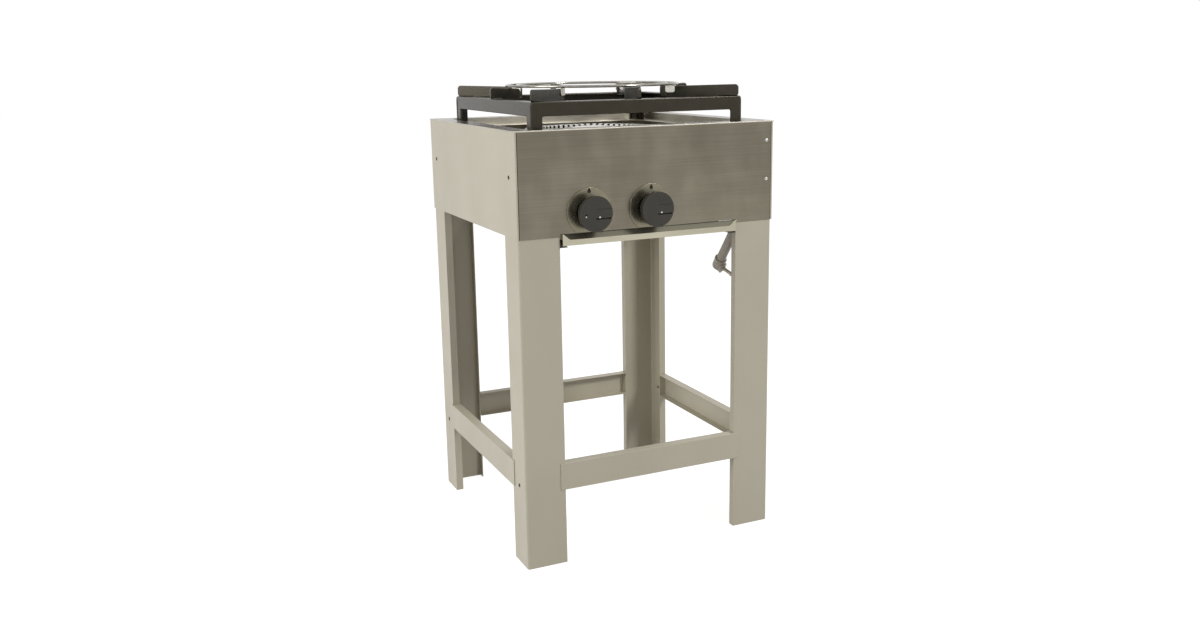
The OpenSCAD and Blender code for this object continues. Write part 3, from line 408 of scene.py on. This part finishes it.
def piece(name, mesh, material, body, replaced=()):
    """Puts a finished mesh into the scene as one piece of the hotplate."""
    made = bpy.data.objects.new(name, mesh)
    bpy.context.scene.collection.objects.link(made)
    mesh.materials.clear()
    mesh.materials.append(material)
    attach(made, body)
    if replaced:
        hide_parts(*replaced)
    return made


def eased(made, width_mm, segments=2, angle=28):
    """Breaks the piece's sharp edges, as deburring, folding or painting leaves them."""
    for face in made.data.polygons:
        face.use_smooth = True
    edge = made.modifiers.new("eased_edges", "BEVEL")
    edge.width = width_mm * MM
    edge.segments = segments
    edge.limit_method = "ANGLE"
    edge.angle_limit = math.radians(angle)
    flat = made.modifiers.new("flat_faces", "WEIGHTED_NORMAL")
    flat.weight = 100
    flat.keep_sharp = True
    return made


def worked(cad_node, material, width_mm):
    """The CAD solid's shape as a clean mesh of its own, with its edges eased."""
    source = frame["nodes"][cad_node]
    form = bmesh.new()
    form.from_mesh(source.data)
    bmesh.ops.remove_doubles(form, verts=form.verts, dist=0.004 * MM)
    bmesh.ops.dissolve_limit(form, angle_limit=math.radians(0.5), verts=form.verts, edges=form.edges)
    mesh = bpy.data.meshes.new(cad_node + "_worked")
    form.to_mesh(mesh)
    form.free()
    made = piece(cad_node + "_worked", mesh, material, source["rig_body"], [cad_node])
    return eased(made, width_mm)


def as_cut(cad_nodes, material):
    """Gives CAD solids that show as they are their finish."""
    for cad_node in cad_nodes:
        mesh = frame["nodes"][cad_node].data
        mesh.materials.clear()
        mesh.materials.append(material)


def mesh_of(name, build):
    """A mesh from a function that fills a bmesh."""
    form = bmesh.new()
    build(form)
    bmesh.ops.recalc_face_normals(form, faces=form.faces)
    mesh = bpy.data.meshes.new(name)
    form.to_mesh(mesh)
    form.free()
    return mesh


ARC_STEPS = 5


def rounded(corners):
    """Closed outline from (point, radius) corners, each radius drawn as an arc of short steps."""
    outline = []
    count = len(corners)
    for i, (point, radius) in enumerate(corners):
        here = Vector(point)
        if radius == 0:
            outline.append(here)
            continue
        back = (Vector(corners[i - 1][0]) - here).normalized()
        ahead = (Vector(corners[(i + 1) % count][0]) - here).normalized()
        half = back.angle(ahead) / 2
        reach = radius / math.tan(half)
        centre = here + (back + ahead).normalized() * (radius / math.sin(half))
        first, last = here + back * reach - centre, here + ahead * reach - centre
        sweep = first.angle_signed(last)
        for k in range(ARC_STEPS + 1):
            outline.append(centre + Matrix.Rotation(-sweep * k / ARC_STEPS, 2) @ first)
    return outline


def plate_from(form, outline, thickness, place):
    """Flat plate of the outline's shape, in the place matrix's X and Y, with its thickness along Z."""
    rings = [[form.verts.new(place @ Vector((p.x, p.y, z))) for p in outline]
             for z in (-thickness / 2, thickness / 2)]
    form.faces.new(rings[0][::-1])
    form.faces.new(rings[1])
    for i in range(len(outline)):
        j = (i + 1) % len(outline)
        form.faces.new((rings[0][i], rings[0][j], rings[1][j], rings[1][i]))


def in_metres(points):
    """The same points, from millimetres to metres."""
    return [(first * MM, second * MM) for first, second in points]


def turned_from(form, profile, place, steps, ring=True):
    """Turned shape on the place matrix's Z axis from (radius, height) points, closed as a ring or flat."""
    turns = []
    for i in range(steps):
        turn = Matrix.Rotation(2 * math.pi * i / steps, 4, "Z")
        turns.append([form.verts.new(place @ turn @ Vector((r, 0, h))) for r, h in profile])
    count = len(profile)
    for i in range(steps):
        a, b = turns[i], turns[(i + 1) % steps]
        for j in range(count if ring else count - 1):
            k = (j + 1) % count
            form.faces.new((a[j], b[j], b[k], a[k]))
    if not ring:
        form.faces.new([t[0] for t in turns])
        form.faces.new([t[-1] for t in turns][::-1])


BEAD_STEP = 0.75 * MM
BEAD_RIPPLE = 3 * MM
BEAD_SIDES = 8


def bead_from(form, start, end, width):
    """Weld bead from start to end, in overlapping ripples as a welder leaves them."""
    start, end = Vector(start), Vector(end)
    along = (end - start).normalized()
    side = along.orthogonal().normalized()
    other = along.cross(side)
    length = (end - start).length
    count = max(6, int(length / BEAD_STEP))
    rings = []
    for i in range(count + 1):
        share = i / count
        swell = 0.80 + 0.20 * abs(math.sin(math.pi * share * length / BEAD_RIPPLE))
        taper = math.sqrt(max(0.04, 1 - (2 * share - 1) ** 8))
        r = width / 2 * swell * taper
        at = start + along * (length * share)
        rings.append([form.verts.new(at + side * (r * math.cos(2 * math.pi * k / BEAD_SIDES))
                                     + other * (r * math.sin(2 * math.pi * k / BEAD_SIDES)))
                      for k in range(BEAD_SIDES)])
    for a, b in zip(rings, rings[1:]):
        for k in range(BEAD_SIDES):
            m = (k + 1) % BEAD_SIDES
            form.faces.new((a[k], a[m], b[m], b[k]))
    form.faces.new(rings[0][::-1])
    form.faces.new(rings[-1])


def smooth(made):
    """Shades the piece as round, with no edge eased."""
    for face in made.data.polygons:
        face.use_smooth = True


# Cabinet, legs and rails: folded sheet, so every bend and edge is a little round
for name in ("left_panel", "right_panel", "rear_panel"):
    worked(name, COAT, 0.5)
worked("front_panel", BRUSHED, 0.5)
TOP_RIM_Z = 769.5 * MM
SLOPING = 0.3
top = worked("top_plate", TOP, 0.5)
# Its rim keeps the front panel's brushed face, and only the well is scoured pale
top.data.materials.append(BRUSHED)
for face in top.data.polygons:
    if face.center.z > TOP_RIM_Z:
        face.material_index = 1
for name in ("leg_front_left", "leg_front_right", "leg_rear_left", "leg_rear_right",
             "rail_front", "rail_rear", "rail_left", "rail_right"):
    worked(name, COAT, 0.6)
tray = worked("drip_tray", SATIN, 0.4)
# The band behind the lip slopes back under the front panel, and gets a darker stainless as painted shade and
# dark reflection from the panel above it
tray.data.materials.append(TRAY_SLOPE_SHADED)
for face in tray.data.polygons:
    if abs(face.normal.y) > SLOPING and abs(face.normal.z) > SLOPING:
        face.material_index = 1
for name in ("tray_runner_left", "tray_runner_right"):
    worked(name, BLACK, 0.3)

# Painted shade: dead black strips in the upright gaps beside the front panel stand for the shadow deep in the
# gaps; and painted stops across the runners' front ends
GAP_SHADE_X = (244.85 * MM, 245.75 * MM)
GAP_SHADE_Y = (-242.4 * MM, -241.8 * MM)
GAP_SHADE_Z = (591 * MM, 768 * MM)
STOP_X = (159.5 * MM, 171 * MM)
STOP_Y = (-241.2 * MM, -240 * MM)
STOP_Z = (572.6 * MM, 581.9 * MM)


def mirrored_blocks(form, span_x, span_y, span_z):
    """The same upright block at the right and at the left."""
    lie = Matrix.Translation((0, sum(span_y) / 2, 0)) @ Matrix.Rotation(math.pi / 2, 4, "X")
    for side in (-1, 1):
        outline = [Vector((side * x, z)) for z, xs in zip(span_z, (span_x, span_x[::-1])) for x in xs]
        plate_from(form, outline, span_y[1] - span_y[0], lie)


# Dead black strips standing for the shadow in the gaps: painted shade
mesh = mesh_of("panel_gap_painted_shade", lambda form: mirrored_blocks(form, GAP_SHADE_X, GAP_SHADE_Y, GAP_SHADE_Z))
piece(mesh.name, mesh, SHADE_BLACK, "cabinet")
mesh = mesh_of("runner_stops", lambda form: mirrored_blocks(form, STOP_X, STOP_Y, STOP_Z))
piece(mesh.name, mesh, SOOTED, "cabinet")

# Rivets: eyelets through the side panels and the legs, their mouths filled with dead black discs as painted
# shade, and two solid ones at the front
EYELET_Y = 209.6 * MM
EYELETS = ((248.8 * MM, 692 * MM), (247.6 * MM, 148 * MM))
# Turned profiles in millimetres: the rolled rim of an eyelet, the black disc of painted shade in its mouth
# and the dome of a solid rivet
EYELET_RIM = ((3.2, 0), (4.5, 0), (4.4, 0.4), (3.9, 0.6), (3.3, 0.4))
EYELET_SHADE_DISC = ((3.5, -0.6), (3.5, 0.45))
RIVET_DOME = ((3.2, -0.5), (3.2, 0.3), (2.6, 0.8), (1.2, 1.0))
FRONT_RIVET = Vector((236 * MM, -242.8 * MM, 735 * MM))
FRONT_RIVET_PITCH = 70 * MM


def at_eyelets(form, profile, ring):
    """The turned shape at each eyelet, on both sides of the cabinet."""
    for side in (-1, 1):
        for x, z in EYELETS:
            for y in (-EYELET_Y, EYELET_Y):
                turned_from(form, in_metres(profile), Matrix.Translation((side * x, y, z))
                            @ Matrix.Rotation(side * math.pi / 2, 4, "Y"), 24, ring)


def front_rivets(form):
    """Domed heads of the two solid rivets at the panel's right end."""
    for drop in (0, FRONT_RIVET_PITCH):
        turned_from(form, in_metres(RIVET_DOME), Matrix.Translation(FRONT_RIVET - Vector((0, 0, drop)))
                    @ Matrix.Rotation(math.pi / 2, 4, "X"), 24, ring=False)


mesh = mesh_of("eyelet_heads", lambda form: at_eyelets(form, EYELET_RIM, ring=True))
smooth(piece(mesh.name, mesh, COAT, "cabinet", ["rivets"]))
# Dead black discs in the eyelets' mouths: painted shade of the holes
mesh = mesh_of("eyelet_mouth_painted_shade", lambda form: at_eyelets(form, EYELET_SHADE_DISC, ring=False))
piece(mesh.name, mesh, SHADE_BLACK, "cabinet")
mesh = mesh_of("front_rivet_heads", front_rivets)
smooth(piece(mesh.name, mesh, ZINC, "cabinet"))

# Grate: one welded frame of angle bar, whose feet run flush down from its corners
GRATE_X = 204 * MM
BAR_LEG = 24 * MM
BAR_T = 3 * MM
FOOT = 21 * MM
FRAME_TOP = 814 * MM
LEDGE_Z = 755 * MM
SUPPORT_T = 6 * MM
SUPPORT_TOP = 835 * MM
SUPPORT_IN_TOP = 832 * MM
SUPPORT_LOW = 811 * MM
SUPPORT_R = 146 * MM
SUPPORT_ROUND = 6 * MM
SUPPORT_HEEL = 5 * MM
CORNER_GAP = 3 * MM
CORNER_BEAD = 5 * MM
MITRE_BEAD = 3.4 * MM
SUPPORT_BEAD = 2.6 * MM
corner_reach = (GRATE_X - CORNER_GAP) * math.sqrt(2)
corner_seat = (GRATE_X - BAR_LEG - SUPPORT_T / 2) * math.sqrt(2)


def grate_frame(form):
    """Four mitred sides of angle bar, each wall cut down to a foot at both ends."""
    low, inner, fillet = FRAME_TOP - BAR_LEG, GRATE_X - BAR_T, 3 * MM
    flange, flange_low = GRATE_X - BAR_LEG, FRAME_TOP - BAR_T
    between_feet = GRATE_X - FOOT
    arch = rounded([((-between_feet, LEDGE_Z), 0), ((-between_feet, low), fillet),
                    ((between_feet, low), fillet), ((between_feet, LEDGE_Z), 0)])
    for quarter in range(4):
        turn = Matrix.Rotation(math.radians(90 * quarter), 4, "Z")

        def corner(x, y, z):
            return form.verts.new(turn @ Vector((x, y, z)))
        outside = [corner(-GRATE_X, -GRATE_X, LEDGE_Z)] + [corner(p.x, -GRATE_X, p.y) for p in arch] \
            + [corner(GRATE_X, -GRATE_X, LEDGE_Z)]
        inside = [corner(-inner, -inner, LEDGE_Z)] + [corner(p.x, -inner, p.y) for p in arch] \
            + [corner(inner, -inner, LEDGE_Z)]
        for i in range(len(outside) - 1):
            form.faces.new((outside[i], outside[i + 1], inside[i + 1], inside[i]))
        top = [corner(s * x, -x, z) for x, z in ((GRATE_X, FRAME_TOP), (flange, FRAME_TOP),
                                                 (flange, flange_low), (inner, flange_low)) for s in (-1, 1)]
        form.faces.new(outside + [top[1], top[0]])
        form.faces.new(inside + [top[7], top[6]])
        for i in (0, 2, 4):
            form.faces.new((top[i], top[i + 1], top[i + 3], top[i + 2]))
    bmesh.ops.remove_doubles(form, verts=form.verts, dist=0.01 * MM)


mesh = mesh_of("grate_frame", grate_frame)
made = piece(mesh.name, mesh, BLACK, "grate",
             ["grate_bar_front", "grate_bar_rear", "grate_bar_left", "grate_bar_right", "grate_feet"])
eased(made, 1.6, 3, 40)


def pot_support(number, turn_deg, reach, seat):
    """One flat bar on edge, its ends ground round, that a pot or the pot ring stands on."""
    outline = rounded([
        ((seat, FRAME_TOP), 0), ((reach, FRAME_TOP), SUPPORT_HEEL), ((reach, SUPPORT_TOP), SUPPORT_ROUND),
        ((SUPPORT_R, SUPPORT_IN_TOP), SUPPORT_ROUND), ((SUPPORT_R, SUPPORT_LOW), SUPPORT_ROUND),
        ((seat, SUPPORT_LOW), 0)])
    place = Matrix.Rotation(math.radians(turn_deg), 4, "Z") @ Matrix.Rotation(math.pi / 2, 4, "X")
    mesh = mesh_of("pot_support_blade_%d" % number,
                   lambda form: plate_from(form, outline, SUPPORT_T, place))
    made = piece(mesh.name, mesh, SOOTED, "grate", ["pot_support_%d" % number])
    eased(made, 1.4, 3, 40)


for quarter in range(4):
    pot_support(2 * quarter + 1, 225 + 90 * quarter, corner_reach, corner_seat)
    pot_support(2 * quarter + 2, 270 + 90 * quarter, GRATE_X, GRATE_X - BAR_LEG)


def grate_welds(form):
    """Beads down the corners of the frame, in the mitres on top and along both sides of each side support."""
    for quarter in range(4):
        turn = Matrix.Rotation(math.radians(90 * quarter), 4, "Z")
        edge = GRATE_X - 1.0 * MM
        bead_from(form, turn @ Vector((-edge, -edge, LEDGE_Z + 2 * MM)),
                  turn @ Vector((-edge, -edge, FRAME_TOP - 0.4 * MM)), CORNER_BEAD)
        inner = GRATE_X - BAR_LEG
        bead_from(form, turn @ Vector((-edge, -edge, FRAME_TOP - 0.9 * MM)),
                  turn @ Vector((-inner, -inner, FRAME_TOP - 0.9 * MM)), MITRE_BEAD)
        for side in (-1, 1):
            off = side * (SUPPORT_T / 2 + 0.4 * MM)
            bead_from(form, turn @ Vector((off, -GRATE_X + 2 * MM, FRAME_TOP + 0.3 * MM)),
                      turn @ Vector((off, -inner - 1 * MM, FRAME_TOP + 0.3 * MM)), SUPPORT_BEAD)


mesh = mesh_of("grate_weld_beads", grate_welds)
smooth(piece(mesh.name, mesh, SOOTED, "grate"))

# Pot ring: two rings of wire, short wires butted between them, and saddles over the corner supports
RING_RADII = (142 * MM, 162 * MM)
WIRE_R = 2.25 * MM
WIRE_Z = 836.062 * MM
CLIP_R = 156 * MM
CLIP_L = 18 * MM
CLIP_IN = 3.5 * MM
CLIP_T = 1.5 * MM
CLIP_TOP = WIRE_Z - WIRE_R
CLIP_DROP = 12 * MM
CHEEK_ROUND = 4 * MM


def around(middle, radius, count):
    """Points of a circle round the middle."""
    angles = [2 * math.pi * k / count for k in range(count)]
    return [(middle[0] + radius * math.cos(a), middle[1] + radius * math.sin(a)) for a in angles]


def pot_ring(form):
    """The two rings, and four short wires level with them."""
    for radius in RING_RADII:
        turned_from(form, around((radius, WIRE_Z), WIRE_R, 12), Matrix(), 96)
    for quarter in range(4):
        turn = Matrix.Rotation(math.radians(45 + 90 * quarter), 4, "Z")
        lying = turn @ Matrix.Translation((RING_RADII[0], 0, WIRE_Z)) @ Matrix.Rotation(math.pi / 2, 4, "Y")
        turned_from(form, [(WIRE_R, 0), (WIRE_R, RING_RADII[1] - RING_RADII[0])], lying, 16, ring=False)


mesh = mesh_of("pot_ring_loops", pot_ring)
smooth(piece(mesh.name, mesh, NICKEL, "pot_ring", ["pot_ring_wires"]))


def clips(form):
    """Four saddles of folded sheet, each with a top and two rounded cheeks."""
    for quarter in range(4):
        turn = Matrix.Rotation(math.radians(45 + 90 * quarter), 4, "Z")
        half, wide = CLIP_L / 2, CLIP_IN + CLIP_T
        top = [Vector((x, y)) for x, y in ((-half, -wide), (half, -wide), (half, wide), (-half, wide))]
        plate_from(form, top, CLIP_T, turn @ Matrix.Translation((CLIP_R, 0, CLIP_TOP - CLIP_T / 2)))
        cheek = rounded([((-half, 0), 0), ((-half, -CLIP_DROP), CHEEK_ROUND),
                         ((half, -CLIP_DROP), CHEEK_ROUND), ((half, 0), 0)])
        for side in (-1, 1):
            stand = Matrix.Translation((CLIP_R, side * (CLIP_IN + CLIP_T / 2), CLIP_TOP - CLIP_T * 0.9)) \
                @ Matrix.Rotation(math.pi / 2, 4, "X")
            plate_from(form, cheek, CLIP_T, turn @ stand)


mesh = mesh_of("ring_saddles", clips)
eased(piece(mesh.name, mesh, SADDLE, "pot_ring", ["ring_clips"]), 0.4)

# Burners
as_cut(["outer_burner_cap"], CROWN)
as_cut(["inner_burner_cap"], INNER_CROWN)
as_cut(["outer_burner_body", "inner_burner_body"], IRON)
as_cut(["outer_mixing_tube", "inner_mixing_tube"], ZINC)
for name in ("burner_bar_front", "burner_bar_rear"):
    worked(name, STEEL, 0.5)

# Taps and gas supply
as_cut(["tap_body_1", "tap_body_2", "tap_bonnets", "tap_plug_1", "tap_plug_2", "injectors"], BRASS)
as_cut(["spindle_1", "spindle_2", "manifold_brackets", "runner_screws"], ZINC)
as_cut(["gas_manifold", "manifold_cap", "inlet_elbow", "inlet_pipe"], PIPE)

# Lower end of the inlet: a beaded elbow on the leaning pipe, and a barbed nozzle turned round it
INLET_AT = Vector((206 * MM, -214.6 * MM, 604.5 * MM))
INLET_LEAN = 38.5
INLET_L = 147 * MM
NOZZLE_TURN = 58
# Turned profiles in millimetres from the elbow's corner, as (radius, distance)
ELBOW_UP = ((1.0, -10.9), (4.2, -10.15), (7.8, -7.8), (10.15, -4.2), (11.0, 0), (11.0, 13.6), (11.9, 14.2),
            (11.9, 17.4), (11.3, 18.0), (9.2, 18.0))
ELBOW_OUT = ((10.4, 0), (10.4, 9.4), (11.2, 10.0), (11.2, 12.6), (10.6, 13.2), (4.5, 13.2))
# The barb stays where the hose's mount is
NOZZLE_SHAPE = ((2.0, 12.0), (5.6, 12.0), (5.6, 15.2), (3.5, 15.8), (3.5, 30.5), (4.5, 30.5), (4.5, 33.5),
                (3.5, 35.0), (2.0, 35.0))

up_the_pipe = (Matrix.Translation(INLET_AT) @ Matrix.Rotation(math.radians(180 + INLET_LEAN), 4, "X")
               @ Matrix.Translation((0, 0, INLET_L)) @ Matrix.Rotation(math.radians(NOZZLE_TURN), 4, "Z")
               @ Matrix.Rotation(math.pi, 4, "X"))
along_the_nozzle = up_the_pipe @ Matrix.Rotation(math.pi / 2, 4, "Y")


def hose_elbow(form):
    """Ball corner with a long socket up the pipe and a short one for the nozzle."""
    turned_from(form, in_metres(ELBOW_UP), up_the_pipe, 32, ring=False)
    turned_from(form, in_metres(ELBOW_OUT), along_the_nozzle, 32, ring=False)


mesh = mesh_of("hose_elbow_casting", hose_elbow)
eased(piece(mesh.name, mesh, PIPE, "cabinet", ["hose_elbow"]), 0.3, 2, 40)
mesh = mesh_of("hose_nozzle_turning",
               lambda form: turned_from(form, in_metres(NOZZLE_SHAPE), along_the_nozzle, 24))
eased(piece(mesh.name, mesh, NOZZLE, "cabinet", ["hose_nozzle"]), 0.2, 1, 40)

# Knobs and bezels
for number in (1, 2):
    worked("bezel_%d" % number, DIAL, 0.5)

KNOB_Z = 628.5 * MM
MARK_T = 0.12 * MM
# Half a mark's thickness behind the solids' foremost face, so that the marks don't stand out past it
KNOB_FACE_Y = -271.04 * MM
BEZEL_FACE_Y = -244.3 * MM
KNOB_X = (-117 * MM, 0.0)
KNOB_R = 30.5 * MM
FACE_T = 5 * MM
# Behind the face the knob draws in to its neck: (radius, depth) in millimetres
KNOB_BACK = ((30.1, -4.9), (30.1, -9), (27.5, -15), (24, -22.9))
# Slots beside the pointer, as (lower edge, upper edge, inner end)
LOWER_SLOT = (-9.7 * MM, -7.3 * MM, -1 * MM)
UPPER_SLOT = (7.3 * MM, 7.8 * MM, 2 * MM)


def rim_arc(start_z, end_z, steps, turns=0):
    """Points of the knob's rim between two heights at its right, anticlockwise, with whole turns added."""
    start, stop = math.asin(start_z / KNOB_R), math.asin(end_z / KNOB_R) + 2 * math.pi * turns
    angles = [start + (stop - start) * k / steps for k in range(steps + 1)]
    return [Vector((KNOB_R * math.cos(a), KNOB_R * math.sin(a))) for a in angles]


def knob_face():
    """Outline of the knob's face: a disc with two slots from the right, which leave the pointer bar."""
    low_out, low_in, low_end = LOWER_SLOT
    high_in, high_out, high_end = UPPER_SLOT
    return (rim_arc(high_out, low_out, 60, turns=1)
            + [Vector((low_end, low_out)), Vector((low_end, low_in))]
            + rim_arc(low_in, high_in, 6)
            + [Vector((high_end, high_in)), Vector((high_end, high_out))])


def knob_moulding(form, knob_x):
    """Face disc with its pointer, on a rim that draws in to a narrow neck behind."""
    place = Matrix.Translation((knob_x, KNOB_FACE_Y, KNOB_Z)) @ Matrix.Rotation(math.pi / 2, 4, "X")
    plate_from(form, knob_face(), FACE_T, place @ Matrix.Translation((0, 0, -FACE_T / 2)))
    turned_from(form, in_metres(KNOB_BACK), place, 64, ring=False)
    rim = [(KNOB_R - 1.5 * MM, -1.0 * MM), (KNOB_R - 0.3 * MM, -1.0 * MM),
           (KNOB_R - 0.3 * MM, -FACE_T), (KNOB_R - 1.5 * MM, -FACE_T)]
    turned_from(form, rim, place, 64)


for number, knob_x in zip((1, 2), KNOB_X):
    mesh = mesh_of("knob_moulding_%d" % number, lambda form: knob_moulding(form, knob_x))
    made = piece(mesh.name, mesh, RESIN, "handle_%d" % number, ["knob_%d" % number])
    eased(made, 0.6, 2, 35)


def print_on(name, outlines, knob_x, face_y, material, body):
    """Printed or inlaid marks: flat shapes in millimetres from the knob's axis, on a face at face_y."""
    place = Matrix.Translation((knob_x, face_y, KNOB_Z)) @ Matrix.Rotation(math.pi / 2, 4, "X")

    def build(form):
        for outline in outlines:
            plate_from(form, [Vector(point) for point in in_metres(outline)], MARK_T, place)
    mesh = mesh_of(name, build)
    return piece(name, mesh, material, body)


def flame_drop(x, z, tall):
    """Outline of a flame drop, pointed at its top, with its middle at x and z."""
    outline = []
    for k in range(20):
        a = 2 * math.pi * k / 20
        lift = math.cos(a)
        width = 0.36 * tall * math.sin(a) * (1 - 0.45 * lift)
        outline.append((x + width, z + tall / 2 * lift))
    return outline


# Full flame on top and low flame to the left, where the pointer then points. On the first dial the full flame
# is printed a little off centre.
FULL_FLAMES = ((-1.0, 37.0), (0, 36.5))
LOW_FLAME = (-35, 10.5)
FULL_FLAME_TALL, LOW_FLAME_TALL = 8.5, 5.0
POINTER_DOT, POINTER_DOT_R = (6.5, -5.7), 1.5
for number, knob_x, full_flame in zip((1, 2), KNOB_X, FULL_FLAMES):
    marks = [flame_drop(*full_flame, FULL_FLAME_TALL), flame_drop(*LOW_FLAME, LOW_FLAME_TALL)]
    print_on("bezel_marks_%d" % number, marks, knob_x, BEZEL_FACE_Y, DARK_INK, "cabinet")
    print_on("knob_dot_%d" % number, [around(POINTER_DOT, POINTER_DOT_R, 16)], knob_x, KNOB_FACE_Y, PALE_INK,
             "handle_%d" % number)
# The first knob's face carries a pale spot, and a dead black spot above it
for name, middle, radius, material in (("knob_scar", (-18.6, -3.8), 1.2, PALE_INK),
                                       ("knob_pit", (-18.2, -1.0), 1.5, SHADE_BLACK)):
    print_on(name, [around(middle, radius, 16)], KNOB_X[0], KNOB_FACE_Y, material, "handle_1")


# ---------------------------------------------------------------- stage and light

# Light that the white floor gives off to whoever looks at it, beside what it reflects
FLOOR_GLOW = 0.84
# Strength of the white air as a light; where it is seen it is 1
AIR_LIGHT = 0.40
FLOOR_HALF = 20
FLOOR_T = 0.02
FLOOR_TOP = -0.5 * MM


def seen_directly(tree):
    """1 on rays from the camera, in reflections and through clear pieces, and 0 on all other rays."""
    ray = add(tree, "ShaderNodeLightPath", {}).outputs
    seen = add(tree, "ShaderNodeMath", {0: ray["Is Camera Ray"], 1: ray["Is Glossy Ray"]},
               operation="MAXIMUM").outputs[0]
    return add(tree, "ShaderNodeMath", {0: seen, 1: ray["Is Transmission Ray"]},
               operation="MAXIMUM").outputs[0]


def studio():
    """White sweep of floor and air, with the object's own soft shadow, and plain soft light."""
    square = [Vector((FLOOR_HALF * x, FLOOR_HALF * y)) for x, y in ((-1, -1), (1, -1), (1, 1), (-1, 1))]
    floor_mesh = mesh_of("floor", lambda form: plate_from(
        form, square, FLOOR_T, Matrix.Translation((0, 0, FLOOR_TOP - FLOOR_T / 2))))
    floor = bpy.data.objects.new("floor", floor_mesh)
    bpy.context.scene.collection.objects.link(floor)
    paper, tree, shader = finish("white_paper", Roughness=0.9)
    shader.inputs["Base Color"].default_value = colour("#b4b4b4")
    shader.inputs["Specular IOR Level"].default_value = 0.0
    lift = add(tree, "ShaderNodeMath", {0: seen_directly(tree), 1: FLOOR_GLOW}, operation="MULTIPLY")
    glow = add(tree, "ShaderNodeEmission", {"Color": colour("#ffffff"), "Strength": lift.outputs[0]})
    both = add(tree, "ShaderNodeAddShader", {0: shader.outputs[0], 1: glow.outputs[0]})
    tree.links.new(both.outputs[0], tree.nodes["Material Output"].inputs["Surface"])
    floor_mesh.materials.append(paper)

    world = bpy.data.worlds.new("studio")
    bpy.context.scene.world = world
    world.use_nodes = True
    tree = world.node_tree
    air = tree.nodes["Background"]
    air.inputs["Color"].default_value = colour("#ffffff")
    level = add(tree, "ShaderNodeMapRange", {
        "Value": seen_directly(tree), "To Min": AIR_LIGHT, "To Max": 1.0})
    tree.links.new(level.outputs["Result"], air.inputs["Strength"])

    def softbox(name, place, target, size, watts):
        lamp = bpy.data.lights.new(name, "AREA")
        lamp.size = size
        lamp.energy = watts
        box = bpy.data.objects.new(name, lamp)
        bpy.context.scene.collection.objects.link(box)
        aim = Vector(target) - Vector(place)
        box.matrix_world = Matrix.Translation(place) @ aim.to_track_quat("-Z", "Y").to_matrix().to_4x4()

    softbox("left_softbox", (-3.4, -0.2, 1.7), (0, 0, 0.5), 2.0, 70)
    softbox("front_softbox", (1.6, -2.4, 2.7), (0, 0, 0.6), 0.8, 62)

    view = bpy.context.scene.view_settings
    view.view_transform = "Standard"


studio()
